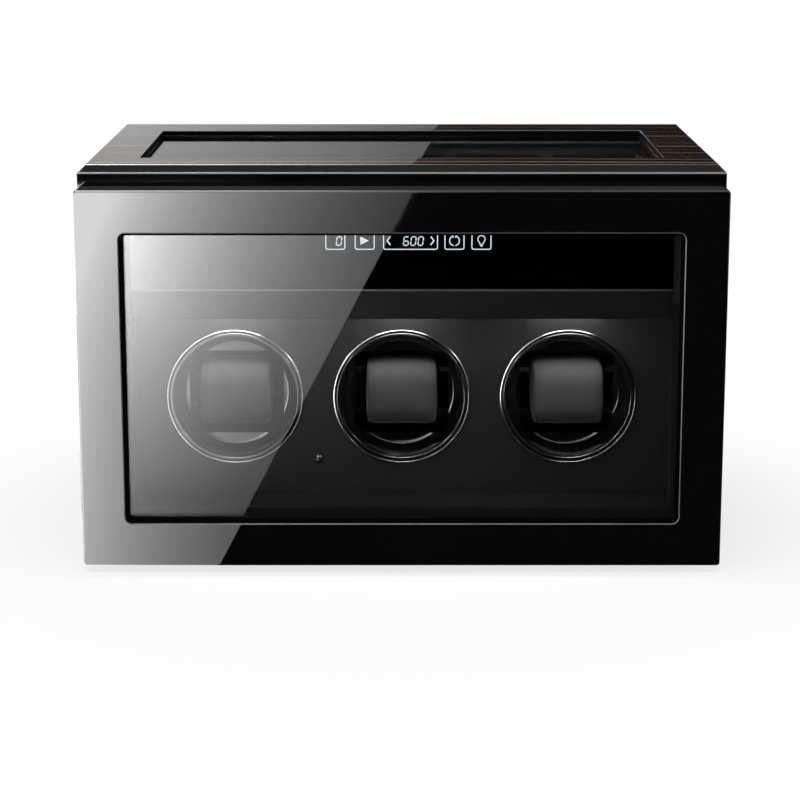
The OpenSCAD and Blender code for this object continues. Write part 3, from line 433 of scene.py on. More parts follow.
def poured(bm, name, *finishes):
    """A new object made of a bmesh, which is used up."""
    mesh = bpy.data.meshes.new(name)
    bm.to_mesh(mesh)
    bm.free()
    for finish in finishes:
        mesh.materials.append(finish)
    return added(name, mesh)


def smooth_faces(mesh):
    mesh.polygons.foreach_set("use_smooth", [True] * len(mesh.polygons))


def round_off(bm, edges, width, segments, material=-1):
    """Rounds edges; -1 gives the new faces their neighbours' slot."""
    bmesh.ops.bevel(bm, geom=edges, offset=width, offset_type="OFFSET", segments=segments,
                    profile=0.5, affect="EDGES", clamp_overlap=True, material=material)


def sharpen(bm):
    """Marks the sharp edges, so that shading stops there."""
    for edge in bm.edges:
        edge.smooth = not (len(edge.link_faces) == 2 and edge.calc_face_angle() > SHARP)


def merged_copy(node):
    """A CAD piece's mesh with its loose triangles joined into plane faces."""
    bm = bmesh.new()
    bm.from_mesh(frame["nodes"][node].data)
    bmesh.ops.remove_doubles(bm, verts=bm.verts, dist=TOUCH)
    bmesh.ops.dissolve_limit(bm, angle_limit=FLAT, verts=bm.verts, edges=bm.edges)
    return bm


def ease(bm, width, chosen, material):
    """Rounds the outer edges that chosen() picks by their middle."""
    edges = [e for e in bm.edges
             if len(e.link_faces) == 2 and e.is_convex and e.calc_face_angle() > FOLDED
             and chosen((e.verts[0].co + e.verts[1].co) / 2)]
    if edges:
        round_off(bm, edges, width, segments=3, material=material)


def eased(node, finishes, *cuts):
    """A rigid piece of the box with its arrises eased: each cut is a width, what it rounds, and at
    will which of the finishes it shows."""
    bm = merged_copy(node)
    for width, chosen, *shown in cuts:
        ease(bm, width, chosen, finishes.index(shown[0]) if shown else -1)
    sharpen(bm)
    piece = poured(bm, f"{node}_eased", *finishes)
    smooth_faces(piece.data)
    normals = piece.modifiers.new("even_shading", "WEIGHTED_NORMAL")
    normals.keep_sharp = True
    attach(piece, frame["nodes"][node]["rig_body"])
    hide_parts(node)
    return piece


def paint(piece, finish, chosen):
    """Shows another of a piece's finishes on the faces that chosen() picks."""
    slot = piece.data.materials.find(finish.name)
    for face in piece.data.polygons:
        if chosen(face):
            face.material_index = slot


def dress(finish, *nodes):
    """Gives carried-over CAD pieces their finish."""
    for node in nodes:
        for slot in frame["nodes"][node].material_slots:
            slot.material = finish


def near(value, target, reach=0.2 * MM):
    return abs(value - target) < reach


def in_face(node, face):
    """Picks the edges in one face of a piece's box."""
    axis, side = face
    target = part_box(node)[side][axis]
    return lambda middle: near(middle[axis], target)


def level_at(height):
    """Picks the level faces at one height."""
    return lambda face: face.normal.z > LEVEL and near(face.center.z, height, TOUCH)


# ---------- joinery ----------


class WINDER_OT_cabinet(bpy.types.Operator):
    """Lacquers the case, eases its outer edges and paints the boards that are hidden in it"""
    bl_idname = "winder.cabinet"
    bl_label = "Cabinet"

    def execute(self, context):
        s = context.scene.winder_cabinet
        lacquer = lacquer_finish("piano_lacquer", s.lacquer)
        painted = board_finish("painted_panel", (0.012, 0.012, 0.014))
        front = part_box("side_panel_left")[0].y
        for side, outer in (("left", -CASE_HALF), ("right", CASE_HALF)):
            eased(f"side_panel_{side}", [lacquer],
                  (s.case_arris, lambda m, x=outer: near(m.x, x) and m.y > front + MM))
        for node, finish, face in (("tray_rear_wall", lacquer, FRONT),
                                   ("service_panel", painted, BACK),
                                   ("base_panel", lacquer, FRONT)):
            eased(node, [finish], (s.case_arris / 2, in_face(node, face)))
        dress(board_finish("black_board", (0.011, 0.011, 0.012)), "mid_shelf", "tray_front_rail")
        dress(board_finish("raw_board", (0.16, 0.105, 0.062), 0.7), "drive_bulkhead")
        return {"FINISHED"}


class WINDER_OT_door(bpy.types.Operator):
    """Lacquers and eases the door's frame and sets its glass"""
    bl_idname = "winder.door"
    bl_label = "Door"

    def execute(self, context):
        s = context.scene.winder_cabinet
        lacquer = bpy.data.materials["piano_lacquer"]
        # a pale grey on the rounded edges of the door's window: a painted highlight line
        window_arris_highlight = moulded_finish("window_arris_painted_highlight", (0.11, 0.11, 0.115), 0.35)
        # a lighter matt grey for the door's top face, in place of what its lacquer would mirror: a
        # painted reflection
        satin = moulded_finish("door_top_painted_reflection", (0.033, 0.033, 0.036), 0.7, level=0.0)
        rail = 20 * MM  # less than the width of the door's rails
        window = CASE_HALF - rail

        def front(middle):
            return near(middle.y, DOOR_LO.y)

        def round_window(middle):
            return abs(middle.x) < window and DOOR_LO.z + rail < middle.z < DOOR_HI.z - rail

        door = eased("door_frame", [lacquer, satin, window_arris_highlight],
                     (s.door_arris, lambda m: front(m) and not round_window(m)),
                     (s.window_arris, lambda m: front(m) and round_window(m), window_arris_highlight))
        # the door's top face shows the painted reflection
        paint(door, satin, level_at(DOOR_HI.z))
        # the door's pane mirrors more towards its top: a painted reflection
        dress(glass_finish("door_pane", 1.33, reflection_rise=(0.05, 0.60, 42 * MM, 165 * MM)), "door_glass")
        dress(moulded_finish("bead_paint", (0.0012, 0.0012, 0.0014), 0.7, level=0.02),
              "door_glass_bead")
        return {"FINISHED"}


class WINDER_OT_lid(bpy.types.Operator):
    """Veneers the lid's top, lacquers its bevels and sets its glass"""
    bl_idname = "winder.lid"
    bl_label = "Lid"

    def execute(self, context):
        s = context.scene.winder_cabinet
        lacquer = bpy.data.materials["piano_lacquer"]
        bead = bpy.data.materials["bead_paint"]
        veneer = veneer_finish(s)
        # a pale grey on the rounded edge at the foot of the lid's bevels: a painted highlight line
        polished = moulded_finish("lid_arris_painted_highlight", (0.26, 0.26, 0.27), 0.3)
        rail = 28 * MM  # less than the width of the lid's rails
        foot = LID_HI.z - 4.4 * MM  # where the bevels start
        below = LID_HI.z - 6 * MM  # all edges above this are eased

        def on_arris(face):
            return near(face.center.z, foot, 0.9 * s.lid_arris) and abs(face.normal.z) > 0.05

        def in_window(face):
            at = face.center
            return (abs(face.normal.z) < 0.3 and abs(at.x) < CASE_HALF - rail
                    and LID_LO.y + rail < at.y < LID_HI.y - rail)

        lid = eased("lid_frame", [lacquer, veneer, bead, polished],
                    (s.lid_arris, lambda m: m.z > below))
        # paints the highlight line on that edge
        paint(lid, polished, on_arris)
        paint(lid, bead, in_window)
        paint(lid, veneer, level_at(LID_HI.z))
        dress(glass_finish("lid_pane", 1.4), "lid_glass")
        dress(bead, "lid_glass_bead")
        return {"FINISHED"}


# ---------- winder compartment ----------


class WINDER_OT_compartment(bpy.types.Operator):
    """Lines the winder compartment and finishes its panel, pelmet and control panel"""
    bl_idname = "winder.compartment"
    bl_label = "Compartment"

    def execute(self, context):
        lining = leatherette_finish("charcoal_leatherette", (0.0045, 0.0045, 0.005), level=0.06)
        # a lighter copy of the lining for the faces turned to the front: painted light
        edge = leatherette_finish("front_lit_painted_leatherette", (0.011, 0.011, 0.012), level=0.06)
        panel = leatherette_finish("panel_leatherette", (0.0055, 0.0055, 0.006), grain=0.04 * MM,
                                   roughness=0.42, level=0.2)
        satin = moulded_finish("pelmet_satin", (0.0016, 0.0018, 0.0022), grain=0.002 * MM,
                               scale=60.0, level=0.2)
        gloss = moulded_finish("control_gloss", (0.001, 0.001, 0.0014), 0.03, grain=0.0002 * MM,
                               scale=40.0, level=0.4)
        trim = metal_finish("trim_metal", (0.12, 0.124, 0.132), 0.42, brush=(0.02, 1, 1),
                            scale=900.0)
        for node in ("side_lining_left", "side_lining_right", "platform"):
            piece = eased(node, [lining, edge], (0.3 * MM, in_face(node, FRONT)))
            # the faces turned to the front get the painted light
            paint(piece, edge, lambda face: face.normal.y < -0.5)
        for node, finish, arris in (("turntable_panel", panel, 0.4 * MM),
                                    ("pelmet", satin, 0.6 * MM),
                                    ("control_fascia", gloss, 0.4 * MM),
                                    ("fascia_trim", trim, 0.25 * MM)):
            eased(node, [finish], (arris, in_face(node, FRONT)))
        dress(moulded_finish("lens_plastic", (0.006, 0.006, 0.009), 0.06), "sensor_lens")
        return {"FINISHED"}


# ---------- display ----------


def arc(cx, cz, radius, start, end, steps=14):
    """Points along an arc, from one angle to another in degrees."""
    return [(cx + radius * math.cos(math.radians(start + (end - start) * k / steps)),
             cz + radius * math.sin(math.radians(start + (end - start) * k / steps)))
            for k in range(steps + 1)]


def round_box(width):
    """A box outline with round corners, open in the middle of its top."""
    side, low, high = width / 2 - BOX_CORNER, BOX_CORNER, BOX_HIGH - BOX_CORNER
    line = [(-BOX_GAP / 2, BOX_HIGH)]
    for cx, cz, start in ((-side, high, 90), (-side, low, 180), (side, low, 270), (side, high, 0)):
        line += arc(cx, cz, BOX_CORNER, start, start + 90, 3)
    return line + [(BOX_GAP / 2, BOX_HIGH)]


def digit(number):
    """A seven-bar digit as separate strokes."""
    bars = {"top": ((0, 2), (1, 2)), "right_up": ((1, 2), (1, 1)), "right_low": ((1, 1), (1, 0)),
            "foot": ((0, 0), (1, 0)), "left_low": ((0, 1), (0, 0)), "left_up": ((0, 2), (0, 1)),
            "waist": ((0, 1), (1, 1))}
    lit = {0: ("top", "right_up", "right_low", "foot", "left_low", "left_up"),
           6: ("top", "right_low", "foot", "left_low", "left_up", "waist")}[number]
    bar_high = DIGIT_HIGH / 2
    strokes = []
    for bar in lit:
        start, end = (Vector(((x - 0.5) * DIGIT_WIDE + z * bar_high * DIGIT_SLANT, z * bar_high))
                      for x, z in bars[bar])
        gap = (end - start).normalized() * DIGIT_WIDE * 0.11
        strokes.append([start + gap, end - gap])
    return strokes


def symbol_lines():
    """All lines of the display: their points and thickness."""
    lines = []

    def add(box, points, thick=1.0):
        lines.append(([(x + BOX_MIDDLES[box], z) for x, z in points], thick))

    def write(box, number, middle):
        for bar in digit(number):
            add(box, [(x + middle, z + DIGIT_FOOT) for x, z in bar], 1.1)

    for box in BOX_MIDDLES:
        add(box, round_box(BOX_WIDE if box == "turns" else BOX_NARROW))
    write("count", 0, 1.9)
    for place, number in enumerate((6, 0, 0), -1):
        write("turns", number, place * DIGIT_PITCH + 1.4)
    for reach in (0.0, 0.5, 1.0, 1.5):  # the play mark is filled with nested strokes
        back, half = reach - 2.4, 2.2 - reach * 1.15
        add("run", [(back, MARK + half), (2.2 - reach, MARK), (back, MARK - half),
                    (back, MARK + half)], 0.9)
    for side in (-1, 1):
        add("turns", [(side * 11.9, MARK + 2.5), (side * 13.8, MARK),
                      (side * 11.9, MARK - 2.5)], 1.3)
        add("direction", [(side * x, z) for x, z in arc(0, MARK, 2.9, 62, -80)])
        for reach in (0.0, 0.3):  # the arrow heads are filled in the same way
            inner, top = 0.5 + reach * 0.6, 7.9 - reach * 0.6
            add("direction", [(side * inner, top), (side * (1.8 - reach), top),
                              (side * (0.75 + reach * 0.2), 6.7 + reach), (side * inner, top)], 0.6)
        add("light", [(side * 1.45, 4.4), (side * 1.0, 3.75), (side * 0.95, 3.0)], 0.9)
    add("light", arc(0, 6.0, 2.15, -48, 228), 0.9)
    for height, half in ((3.0, 0.95), (2.35, 0.8), (1.8, 0.6)):
        add("light", [(-half, height), (half, height)], 0.75)
    return lines


def draw_line(bm, points, radius):
    """Adds a round line to a bmesh, through points given in millimetres."""
    curve = bpy.data.curves.new("symbol_line", "CURVE")
    curve.dimensions = "3D"
    curve.bevel_depth = radius
    curve.bevel_resolution = 1
    curve.use_fill_caps = True
    spline = curve.splines.new("POLY")
    spline.points.add(len(points) - 1)
    for point, (x, z) in zip(spline.points, points):
        point.co = (x * MM, 0, z * MM, 1)
    lead = bpy.data.objects.new("symbol_line", curve)
    bm.from_mesh(lead.to_mesh())
    lead.to_mesh_clear()
    bpy.data.objects.remove(lead)
    bpy.data.curves.remove(curve)


class WINDER_OT_display(bpy.types.Operator):
    """Prints the lit symbols on the control panel and lights the compartment"""
    bl_idname = "winder.display"
    bl_label = "Display"

    def execute(self, context):
        s = context.scene.winder_display
        panel_lo, panel_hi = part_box("control_fascia")
        flat, proud = 0.06, 0.01 * MM  # the lines are flattened, and stand just off the panel
        bm = bmesh.new()
        for points, thick in symbol_lines():
            draw_line(bm, points, s.stroke * thick / 2)
        bmesh.ops.scale(bm, vec=(1, flat, 1), verts=bm.verts)
        bmesh.ops.translate(bm, vec=(DISPLAY_RIGHT * MM, panel_lo.y - proud,
                                     panel_hi.z - DISPLAY_DROP * MM), verts=bm.verts)
        symbols = poured(bm, "display_symbols", symbol_finish(s.glow, s.brightness))
        smooth_faces(symbols.data)
        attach(symbols, "case")
        pitch = (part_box("drum_right")[0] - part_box("drum_middle")[0]).x
        dress(opal_finish((1.0, 0.98, 0.94), s.cabin_light, pitch), "led_diffuser")
        dress(moulded_finish("strip_white", (0.7, 0.7, 0.66), 0.5), "led_strip")
        dress(circuit_finish(), "display_module")
        return {"FINISHED"}


# ---------- turntables ----------


class WINDER_OT_turntables(bpy.types.Operator):
    """Polishes the turntable cups and their bezels and finishes the drive behind them"""
    bl_idname = "winder.turntables"
    bl_label = "Turntables"

    def execute(self, context):
        self.cups()
        self.bezels()
        acetal = moulded_finish("gear_acetal", (0.62, 0.6, 0.53), 0.38)
        dress(acetal, *[f"drum_gear_{side}" for side in TURNTABLES])
        dress(metal_finish("pinion_steel", (0.52, 0.52, 0.53), 0.28),
              *[f"motor_pinion_{side}" for side in TURNTABLES])
        dress(metal_finish("turned_brass", (0.78, 0.55, 0.24), 0.24), "drum_bearings")
        dress(metal_finish("motor_zinc", (0.5, 0.51, 0.53), 0.34, brush=(1, 0.1, 1)),
              "drive_motors")
        dress(bpy.data.materials["circuit_board"], "control_board")
        return {"FINISHED"}

    def cups(self):
        """Polishes each cup and leaves the walls and floor of its pocket matt."""
        cup = lacquer_finish("cup_gloss", (0.004, 0.004, 0.0045), polish=0.035)
        matt = moulded_finish("pocket_matt", (0.004, 0.004, 0.0045), 0.6, level=0.1)
        walls, floor = 5 * MM, 18 * MM  # how far behind the rim the pocket has walls and a floor
        for side in TURNTABLES:
            node = f"drum_{side}"
            rim_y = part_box(node)[0].y

            def in_pocket(face):
                behind, along = face.center.y - rim_y, abs(face.normal.y)
                return behind > walls and along < 0.02 or behind > floor and along > 0.98

            paint(eased(node, [cup, matt], (0.5 * MM, in_face(node, FRONT))), matt, in_pocket)

    def bezels(self):
        """Gives each bezel's rounded rim a brighter copy of its chrome, a painted highlight, and
        its inner ring a darker copy, painted shade.
        """
        # the same chrome twice: darker on the inner ring as painted shade, brighter on the rim as a
        # painted highlight
        shaded_bezel_chrome = metal_finish("bezel_chrome_painted_shade", (0.2, 0.202, 0.208), 0.12, scale=60.0,
                              depth=0.001 * MM)
        bright = metal_finish("rim_chrome_painted_highlight", (0.5, 0.505, 0.515), 0.14, scale=60.0,
                              depth=0.001 * MM)
        lo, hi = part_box("turntable_bezels")
        rim_r = (hi.z - lo.z) / 2 - 0.6 * MM
        middles = [sum(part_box(f"drum_{side}"), Vector()) / 2 for side in TURNTABLES]
        front = in_face("turntable_bezels", FRONT)

        def on_rim(at):
            return min(math.hypot(at.x - m.x, at.z - m.z) for m in middles) > rim_r

        eased("turntable_bezels", [shaded_bezel_chrome, bright],
              (0.75 * MM, lambda m: front(m) and on_rim(m), bright),
              (0.35 * MM, lambda m: front(m) and not on_rim(m)))


# ---------- cushions ----------


def bolster(size, roundness):
    """The core of a cushion: a block rounded along the box, with its ends eased."""
    bm = bmesh.new()
    bmesh.ops.create_cube(bm, size=1.0)
    bmesh.ops.scale(bm, vec=size, verts=bm.verts)
    along_x = [e for e in bm.edges if abs((e.verts[0].co - e.verts[1].co).x) > size.x / 2]
    round_off(bm, along_x, roundness, segments=6)
    ends = [e for e in bm.edges if e.calc_face_angle(0) > math.radians(60)]
    round_off(bm, ends, 2.5 * MM, segments=2)
    return bm


def bake_modifiers(piece):
    """Replaces a piece's mesh by what its modifiers make of it."""
    graph = bpy.context.evaluated_depsgraph_get()
    mesh = bpy.data.meshes.new_from_object(piece.evaluated_get(graph))
    piece.modifiers.clear()
    old, piece.data = piece.data, mesh
    bpy.data.meshes.remove(old)


def fill(piece, settings):
    """Swells a cushion's cover by the pressure of its filling, and holds it to the swell."""
    rest = [v.co.copy() for v in piece.data.vertices]
    cloth = piece.modifiers.new("cover", "CLOTH")
    cloth.settings.quality = 6
    cloth.settings.mass = 0.15
    cloth.settings.use_pressure = True
    cloth.settings.uniform_pressure_force = settings.filling
    cloth.settings.tension_stiffness = 12
    cloth.settings.compression_stiffness = 12
    cloth.settings.bending_stiffness = 0.4
    cloth.settings.effector_weights.gravity = 0
    cloth.collision_settings.use_collision = False
    cloth.point_cache.frame_start, cloth.point_cache.frame_end = 1, settings.steps
    for step in range(1, settings.steps + 1):
        bpy.context.scene.frame_set(step)
    bake_modifiers(piece)
    bpy.context.scene.frame_set(1)
    for vertex, home in zip(piece.data.vertices, rest):
        moved = vertex.co - home
        if moved.length > settings.swell:
            vertex.co = home + moved.normalized() * settings.swell


def sew(bm, length):
    """Draws a sewn channel in round each end of a cushion."""
    seam_x, half, depth = length / 2 - 4.2 * MM, 1.5 * MM, 0.8 * MM
    bm.normal_update()
    for v in bm.verts:
        across = abs(abs(v.co.x) - seam_x) / half
        if across < 1 and abs(v.normal.x) < 0.8:
            v.co -= v.normal * depth * (1 - across) ** 1.5


def pillow(name, lo, hi, settings, roundness):
    """A suede cushion in its seat: a rounded bolster, its cover filled, with sewn ends."""
    size = hi - lo
    slack = 0.93  # the bolster's share of its seat before it is filled
    piece = poured(bolster(size * slack, roundness), name)
    voxels = piece.modifiers.new("even_mesh", "REMESH")
    voxels.mode = "VOXEL"
    voxels.voxel_size = settings.voxel
    voxels.use_smooth_shade = True
    bake_modifiers(piece)
    fill(piece, settings)
    bm = bmesh.new()
    bm.from_mesh(piece.data)
    bmesh.ops.subdivide_edges(bm, edges=bm.edges, cuts=1, use_grid_fill=True, smooth=1.0)
    bmesh.ops.smooth_vert(bm, verts=bm.verts, factor=0.5, use_axis_x=True, use_axis_y=True,
                          use_axis_z=True)
    sew(bm, size.x)
    for v in bm.verts:  # the cover stays inside the space that its seat leaves it
        v.co = Vector([max(-h, min(h, c)) for c, h in zip(v.co, size / 2)])
    bmesh.ops.translate(bm, vec=(hi + lo) / 2, verts=bm.verts)
    bm.to_mesh(piece.data)
    bm.free()
    smooth_faces(piece.data)
    return piece


def copy_moved(piece, name, offset):
    """The same cushion again, its place in its mesh."""
    mesh = piece.data.copy()
    mesh.transform(Matrix.Translation(offset))
    return added(name, mesh)


class WINDER_OT_cushions(bpy.types.Operator):
    """Sews and fills the watch cushions of the turntables and of the storage tray"""
    bl_idname = "winder.cushions"
    bl_label = "Cushions"

    def execute(self, context):
        s = context.scene.winder_soft
        suede = suede_finish("charcoal_suede", s.suede)
        lo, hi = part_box("cushion_middle")
        first = pillow("watch_cushion_middle", lo, hi, s, roundness=11 * MM)
        watch = {"middle": first}
        for side in ("left", "right"):
            watch[side] = copy_moved(first, f"watch_cushion_{side}",
                                     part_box(f"cushion_{side}")[0] - lo)
        for side, piece in watch.items():
            self.seat(piece, suede, f"turntable_{side}", f"cushion_{side}")
        lo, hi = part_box("storage_cushions")
        points = frame["nodes"]["storage_cushions"].data.vertices
        xs = sorted({round(point.co.x, 5) for point in points})
        starts, ends = xs[0::2], xs[1::2]  # each cushion has its points at its two ends
        first = pillow("storage_cushion_1", Vector((starts[0], lo.y, lo.z)),
                       Vector((ends[0], hi.y, hi.z)), s, roundness=13 * MM)
        row = [first] + [copy_moved(first, f"storage_cushion_{number}",
                                    Vector((start - starts[0], 0, 0)))
                         for number, start in enumerate(starts[1:], 2)]
        for piece in row:
            self.seat(piece, suede, "case", "storage_cushions")
        return {"FINISHED"}

    def seat(self, piece, suede, body, node):
        piece.data.materials.append(suede)
        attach(piece, body)
        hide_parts(node)


# ---------- storage tray ----------


class WINDER_OT_tray(bpy.types.Operator):
    """Flocks the storage tray and rounds the mouths of its pockets"""
    bl_idname = "winder.tray"
    bl_label = "Storage tray"

    def execute(self, context):
        flock = suede_finish("tray_flock", (0.012, 0.012, 0.0125), nap=0.08 * MM, sheen=0.02)
        eased("tray_insert", [flock], (MM, in_face("tray_insert", TOP)))
        return {"FINISHED"}


# ---------- hardware ----------


class WINDER_OT_hardware(bpy.types.Operator):
    """Finishes the hinges, screws, magnets, feet and power inlet"""
    bl_idname = "winder.hardware"
    bl_label = "Hardware"

    def execute(self, context):
        steel = metal_finish("hinge_steel", (0.6, 0.6, 0.61), 0.26, brush=(1, 1, 0.06), scale=700.0)
        for leaf in ("door", "lid"):
            dress(steel, *[f"{leaf}_hinge_{kind}"
                           for kind in ("case_leaves", f"{leaf}_leaves", "pins")])
        dress(metal_finish("zinc_screws", (0.58, 0.58, 0.57), 0.32), "service_panel_screws",
              "foot_screws", "hinge_screws_case", "hinge_screws_door", "hinge_screws_lid",
              "motor_screws")
        dress(metal_finish("nickel_plate", (0.66, 0.65, 0.63), 0.18), "door_magnets",
              "door_strikes")
        dress(moulded_finish("foot_rubber", (0.014, 0.014, 0.014), 0.75, grain=0.04 * MM), "feet")
        dress(moulded_finish("inlet_plastic", (0.008, 0.008, 0.009), 0.35), "power_inlet")
        return {"FINISHED"}


# ---------- studio ----------


def reflector_finish(name, tones):
    """A card that glows only in polished surfaces, and is clear to a ray that met none: tones()
    makes its brightness from its nodes."""
    f = Finish(name)
    f.tree.nodes.remove(f.shader)
    glow = f.node("Emission", {"Color": (1.0, 1.0, 1.0), "Strength": tones(f)})
    mirrored = f.sums("MINIMUM", f.node("LightPath").outputs["Glossy Depth"], 1.0)
    f.show(f.output, mirrored, f.node("BsdfTransparent"), glow)
    return f.material


def card(name, corners, tones):
    """A flat reflector that only polished surfaces see."""
    bm = bmesh.new()
    bm.faces.new([bm.verts.new(corner) for corner in corners])
    made = poured(bm, name, reflector_finish(f"{name}_glow", tones))
    made.visible_camera = made.visible_diffuse = made.visible_shadow = False
    made.visible_volume_scatter = False


def lamp(name, place, size, power):
    """A soft lamp, aimed at the box, that no polished surface mirrors."""
    light = bpy.data.lights.new(name, "AREA")
    light.shape = "RECTANGLE"
    light.size, light.size_y = size
    light.energy = power
    made = added(name, light)
    made.location = place
    aim = Vector((0, 0, 100 * MM)) - Vector(place)
    made.rotation_euler = aim.to_track_quat("-Z", "Y").to_euler()
    made.visible_glossy = made.visible_transmission = False


class WINDER_OT_studio(bpy.types.Operator):
    """Sets the camera, the pale floor, the lamps, and the reflectors that the lacquer mirrors"""
    bl_idname = "winder.studio"
    bl_label = "Studio"

    def execute(self, context):
        s = context.scene.winder_studio
        context.scene.view_settings.view_transform = "Standard"
        eye = added("studio_camera", bpy.data.cameras.new("studio_camera"))
        eye.data.lens, eye.data.sensor_width = s.lens, 36.0
        eye.location = s.eye
        eye.rotation_euler = (math.radians(90) - s.pitch, 0, 0)
        context.scene.camera = eye
        self.floor(s)
        self.world()
        lamp("overhead_softbox", (-0.25, -0.55, 1.7), (1.5, 1.1), 16.0)
        lamp("front_fill", (-0.5, -2.2, 0.9), (1.4, 1.0), 5.0)
        self.front_reflector(s)
        self.front_wall()
        self.back_reflector()
        self.ceiling()
        card("side_softbox", [(-1.2, -0.9, 0.0), (-1.2, 0.6, 0.0), (-1.2, 0.6, 0.6),
                              (-1.2, -0.9, 0.6)], lambda f: 7.0)
        return {"FINISHED"}

    def floor(self, s):
        """A wide pale floor: white where it is open, softly shaded under the box."""
        f = Finish("studio_floor", Roughness=0.9, Specular_IOR_Level=0.0)
        dapple = f.noise(3.0, 2.0)
        f.give(Base_Color=f.tones(dapple, (0.3, shade(s.floor, 0.99)), (0.7, s.floor)))
        away = f.node("VectorMath", {0: f.own()}, operation="LENGTH").outputs["Value"]
        open_floor = f.between(away, 0.75, 1.0, 0.2, 0.36)
        f.show(f.output, f.sums("MULTIPLY", f.light_path(*SEEN_RAYS), open_floor), f.shader,
               f.node("Emission", {"Color": (1.0, 1.0, 1.0), "Strength": 1.0}))
        bm = bmesh.new()
        bmesh.ops.create_circle(bm, cap_ends=True, segments=64, radius=12.0)
        ground = poured(bm, "studio_floor", f.material)

    def world(self):
        """Dim air round the box, white wherever it is seen."""
        world = bpy.context.scene.world or bpy.data.worlds.new("studio_air")
        bpy.context.scene.world = world
        world.use_nodes = True
        world.node_tree.nodes.clear()
        air = Nodes(world.node_tree)
        air.show(air.node("OutputWorld"), air.light_path(*SEEN_RAYS),
                 air.node("Background", {"Color": (0.97, 0.98, 1.0), "Strength": 0.35}),
                 air.node("Background", {"Color": (1.0, 1.0, 1.0), "Strength": 1.0}))

    def front_reflector(self, s):
        """The long card in front of the door: brightest at the left, cut off along a straight
        edge. Its glow follows the rays from the camera's mirrored place across the floor."""
        mirrored_y = 2 * DOOR_LO.y - s.eye[1]
        door_foot = 1.383  # how far those rays have come where the door's foot mirrors the card
        low, rise, bend = 0.253, 0.13, 0.055  # the glow there, and how it grows beyond
        fade = -21.5  # how it falls from left to right
        edge_slope, edge_start = -0.0767, -0.12
        dark_y, full_y = -1.90, -1.84  # the card's far end

        def tones(f):
            reach = f.sums("SUBTRACT", mirrored_y, f.along("Y"))
            aside = f.sums("DIVIDE", f.along("X"), reach)
            beyond = f.sums("SUBTRACT", reach, door_foot)
            growth = f.sums("MULTIPLY_ADD", beyond, f.sums("MULTIPLY_ADD", beyond, bend, rise), low)
            glow = f.sums("MULTIPLY", growth,
                          f.sums("POWER", math.e, f.sums("MULTIPLY", aside, fade)))
            edge_x = f.sums("MULTIPLY_ADD", f.along("Y"), edge_slope, edge_start)
            lit = f.sums("MULTIPLY", f.sums("LESS_THAN", f.along("X"), edge_x),
                         f.between(f.along("Y"), 0.0, 1.0, dark_y, full_y))
            return f.sums("MULTIPLY", f.sums("MINIMUM", glow, s.reflector), lit)

        height, near_y, far_y = 2 * MM, DOOR_LO.y + 4 * MM, -2.4
        card("front_reflector", [(-1.5, near_y, height), (-1.5, far_y, height),
                                 (1.1, far_y, height), (1.1, near_y, height)], tones)

    def front_wall(self):
        """A softbox that fades to the right, and a black flag beside it behind a slanting edge."""
        wall_y, high, foot_x, top_x = -2.4, 1.5, 0.05, 0.25
        card("front_softbox", [(-1.5, wall_y, 0.0), (-1.5, wall_y, high), (top_x, wall_y, high),
                               (foot_x, wall_y, 0.0)],
             lambda f: f.between(f.along("X"), 5.0, 0.4, -0.9, 0.2))
        flag_y = wall_y - 10 * MM
        card("front_flag", [(foot_x, flag_y, 0.0), (top_x, flag_y, high), (1.5, flag_y, high),
                            (1.5, flag_y, 0.0)], lambda f: 0.03)

    def back_reflector(self):
        """The card behind the box that the lid mirrors, bright at the left of a slanting edge."""
        edge_slope, edge_start, unlit = -0.614, 0.2941, 0.005

        def tones(f):
            fall = f.between(f.along("X"), 0.50, 0.165, -0.36, 0.03)
            lift = f.between(f.along("Z"), 1.1, 0.75, 0.39, 0.46)
            edge_x = f.sums("MULTIPLY_ADD", f.along("Z"), edge_slope, edge_start)
            lit = f.sums("LESS_THAN", f.along("X"), edge_x)
            return f.sums("MULTIPLY_ADD", f.sums("MULTIPLY", fall, lift), lit, unlit)

        card("back_reflector", [(-1.6, 1.6, 0.0), (1.6, 1.6, 0.0), (1.6, 1.6, 1.0),
                                (-1.6, 1.6, 1.0)], tones)

    def ceiling(self):
        """A dim ceiling with two long light strips, which draw the bright lines on the arrises."""
        def strip(f, middle, half):
            """1 within half of the line y = middle."""
            away = f.sums("ABSOLUTE", f.sums("SUBTRACT", f.along("Y"), middle))
            return f.sums("LESS_THAN", away, half)

        def tones(f):
            strips = f.sums("MAXIMUM", strip(f, -0.85, 0.22), strip(f, 1.1, 0.25))
            fall = f.between(f.along("X"), 28.0, 1.3, -0.42, 0.05)
            dim = 0.2
            return f.sums("MULTIPLY_ADD", strips, fall, dim)

        card("ceiling_reflector", [(-1.3, -1.4, 1.6), (1.3, -1.4, 1.6), (1.3, 1.6, 1.6),
                                   (-1.3, 1.6, 1.6)], tones)


# ---------- panel ----------


STEPS = (WINDER_OT_studio, WINDER_OT_cabinet, WINDER_OT_door, WINDER_OT_lid,
         WINDER_OT_compartment, WINDER_OT_display, WINDER_OT_turntables, WINDER_OT_cushions,
         WINDER_OT_tray, WINDER_OT_hardware)


class WINDER_PT_sidebar(bpy.types.Panel):
    """Lists the steps that dress the box, with their sizes and colours"""
    bl_idname = "WINDER_PT_sidebar"
    bl_label = "Winder Box"
    bl_space_type = "VIEW_3D"
    bl_region_type = "UI"
    bl_category = "Winder Box"

    def draw(self, context):
        for step in STEPS:
            self.layout.operator(step.bl_idname)
        for group in GROUPS:
            settings = getattr(context.scene, group)
            for name in settings.__annotations__:
                self.layout.prop(settings, name)


GROUPS = {"winder_cabinet": WinderCabinetSettings, "winder_soft": WinderSoftSettings,
          "winder_display": WinderDisplaySettings, "winder_studio": WinderStudioSettings}


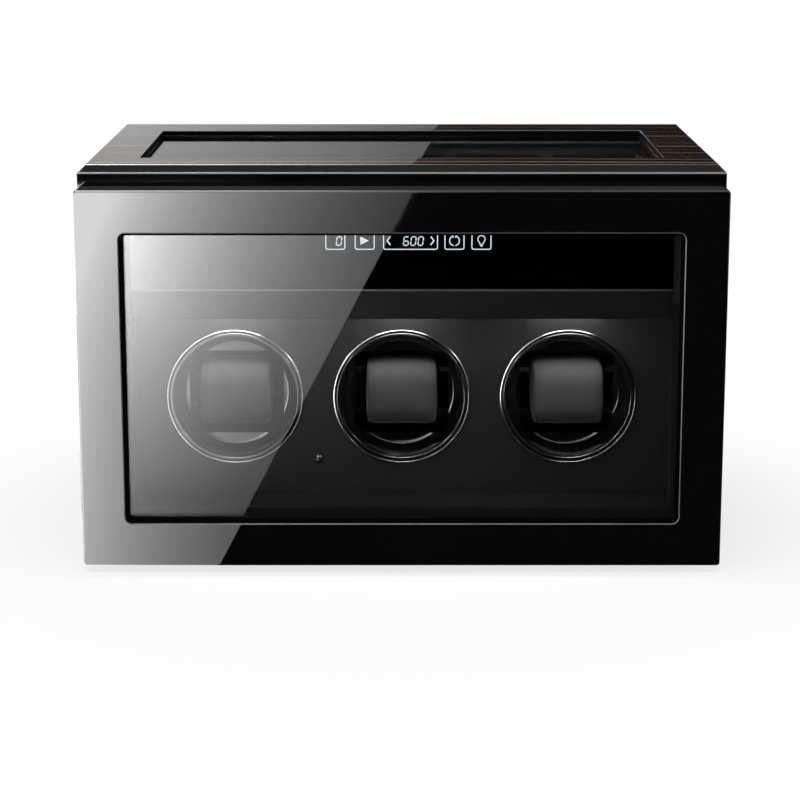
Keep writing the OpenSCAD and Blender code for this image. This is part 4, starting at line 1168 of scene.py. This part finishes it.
def register():
    for cls in (*GROUPS.values(), *STEPS, WINDER_PT_sidebar):
        bpy.utils.register_class(cls)
    for name, group in GROUPS.items():
        setattr(bpy.types.Scene, name, PointerProperty(type=group))


def unregister():
    for name in GROUPS:
        delattr(bpy.types.Scene, name)
    for cls in (WINDER_PT_sidebar, *reversed(STEPS), *reversed(list(GROUPS.values()))):
        bpy.utils.unregister_class(cls)


def main():
    register()
    for step in STEPS:
        group, name = step.bl_idname.split(".")
        getattr(getattr(bpy.ops, group), name)()


if __name__ == "__main__":
    main()
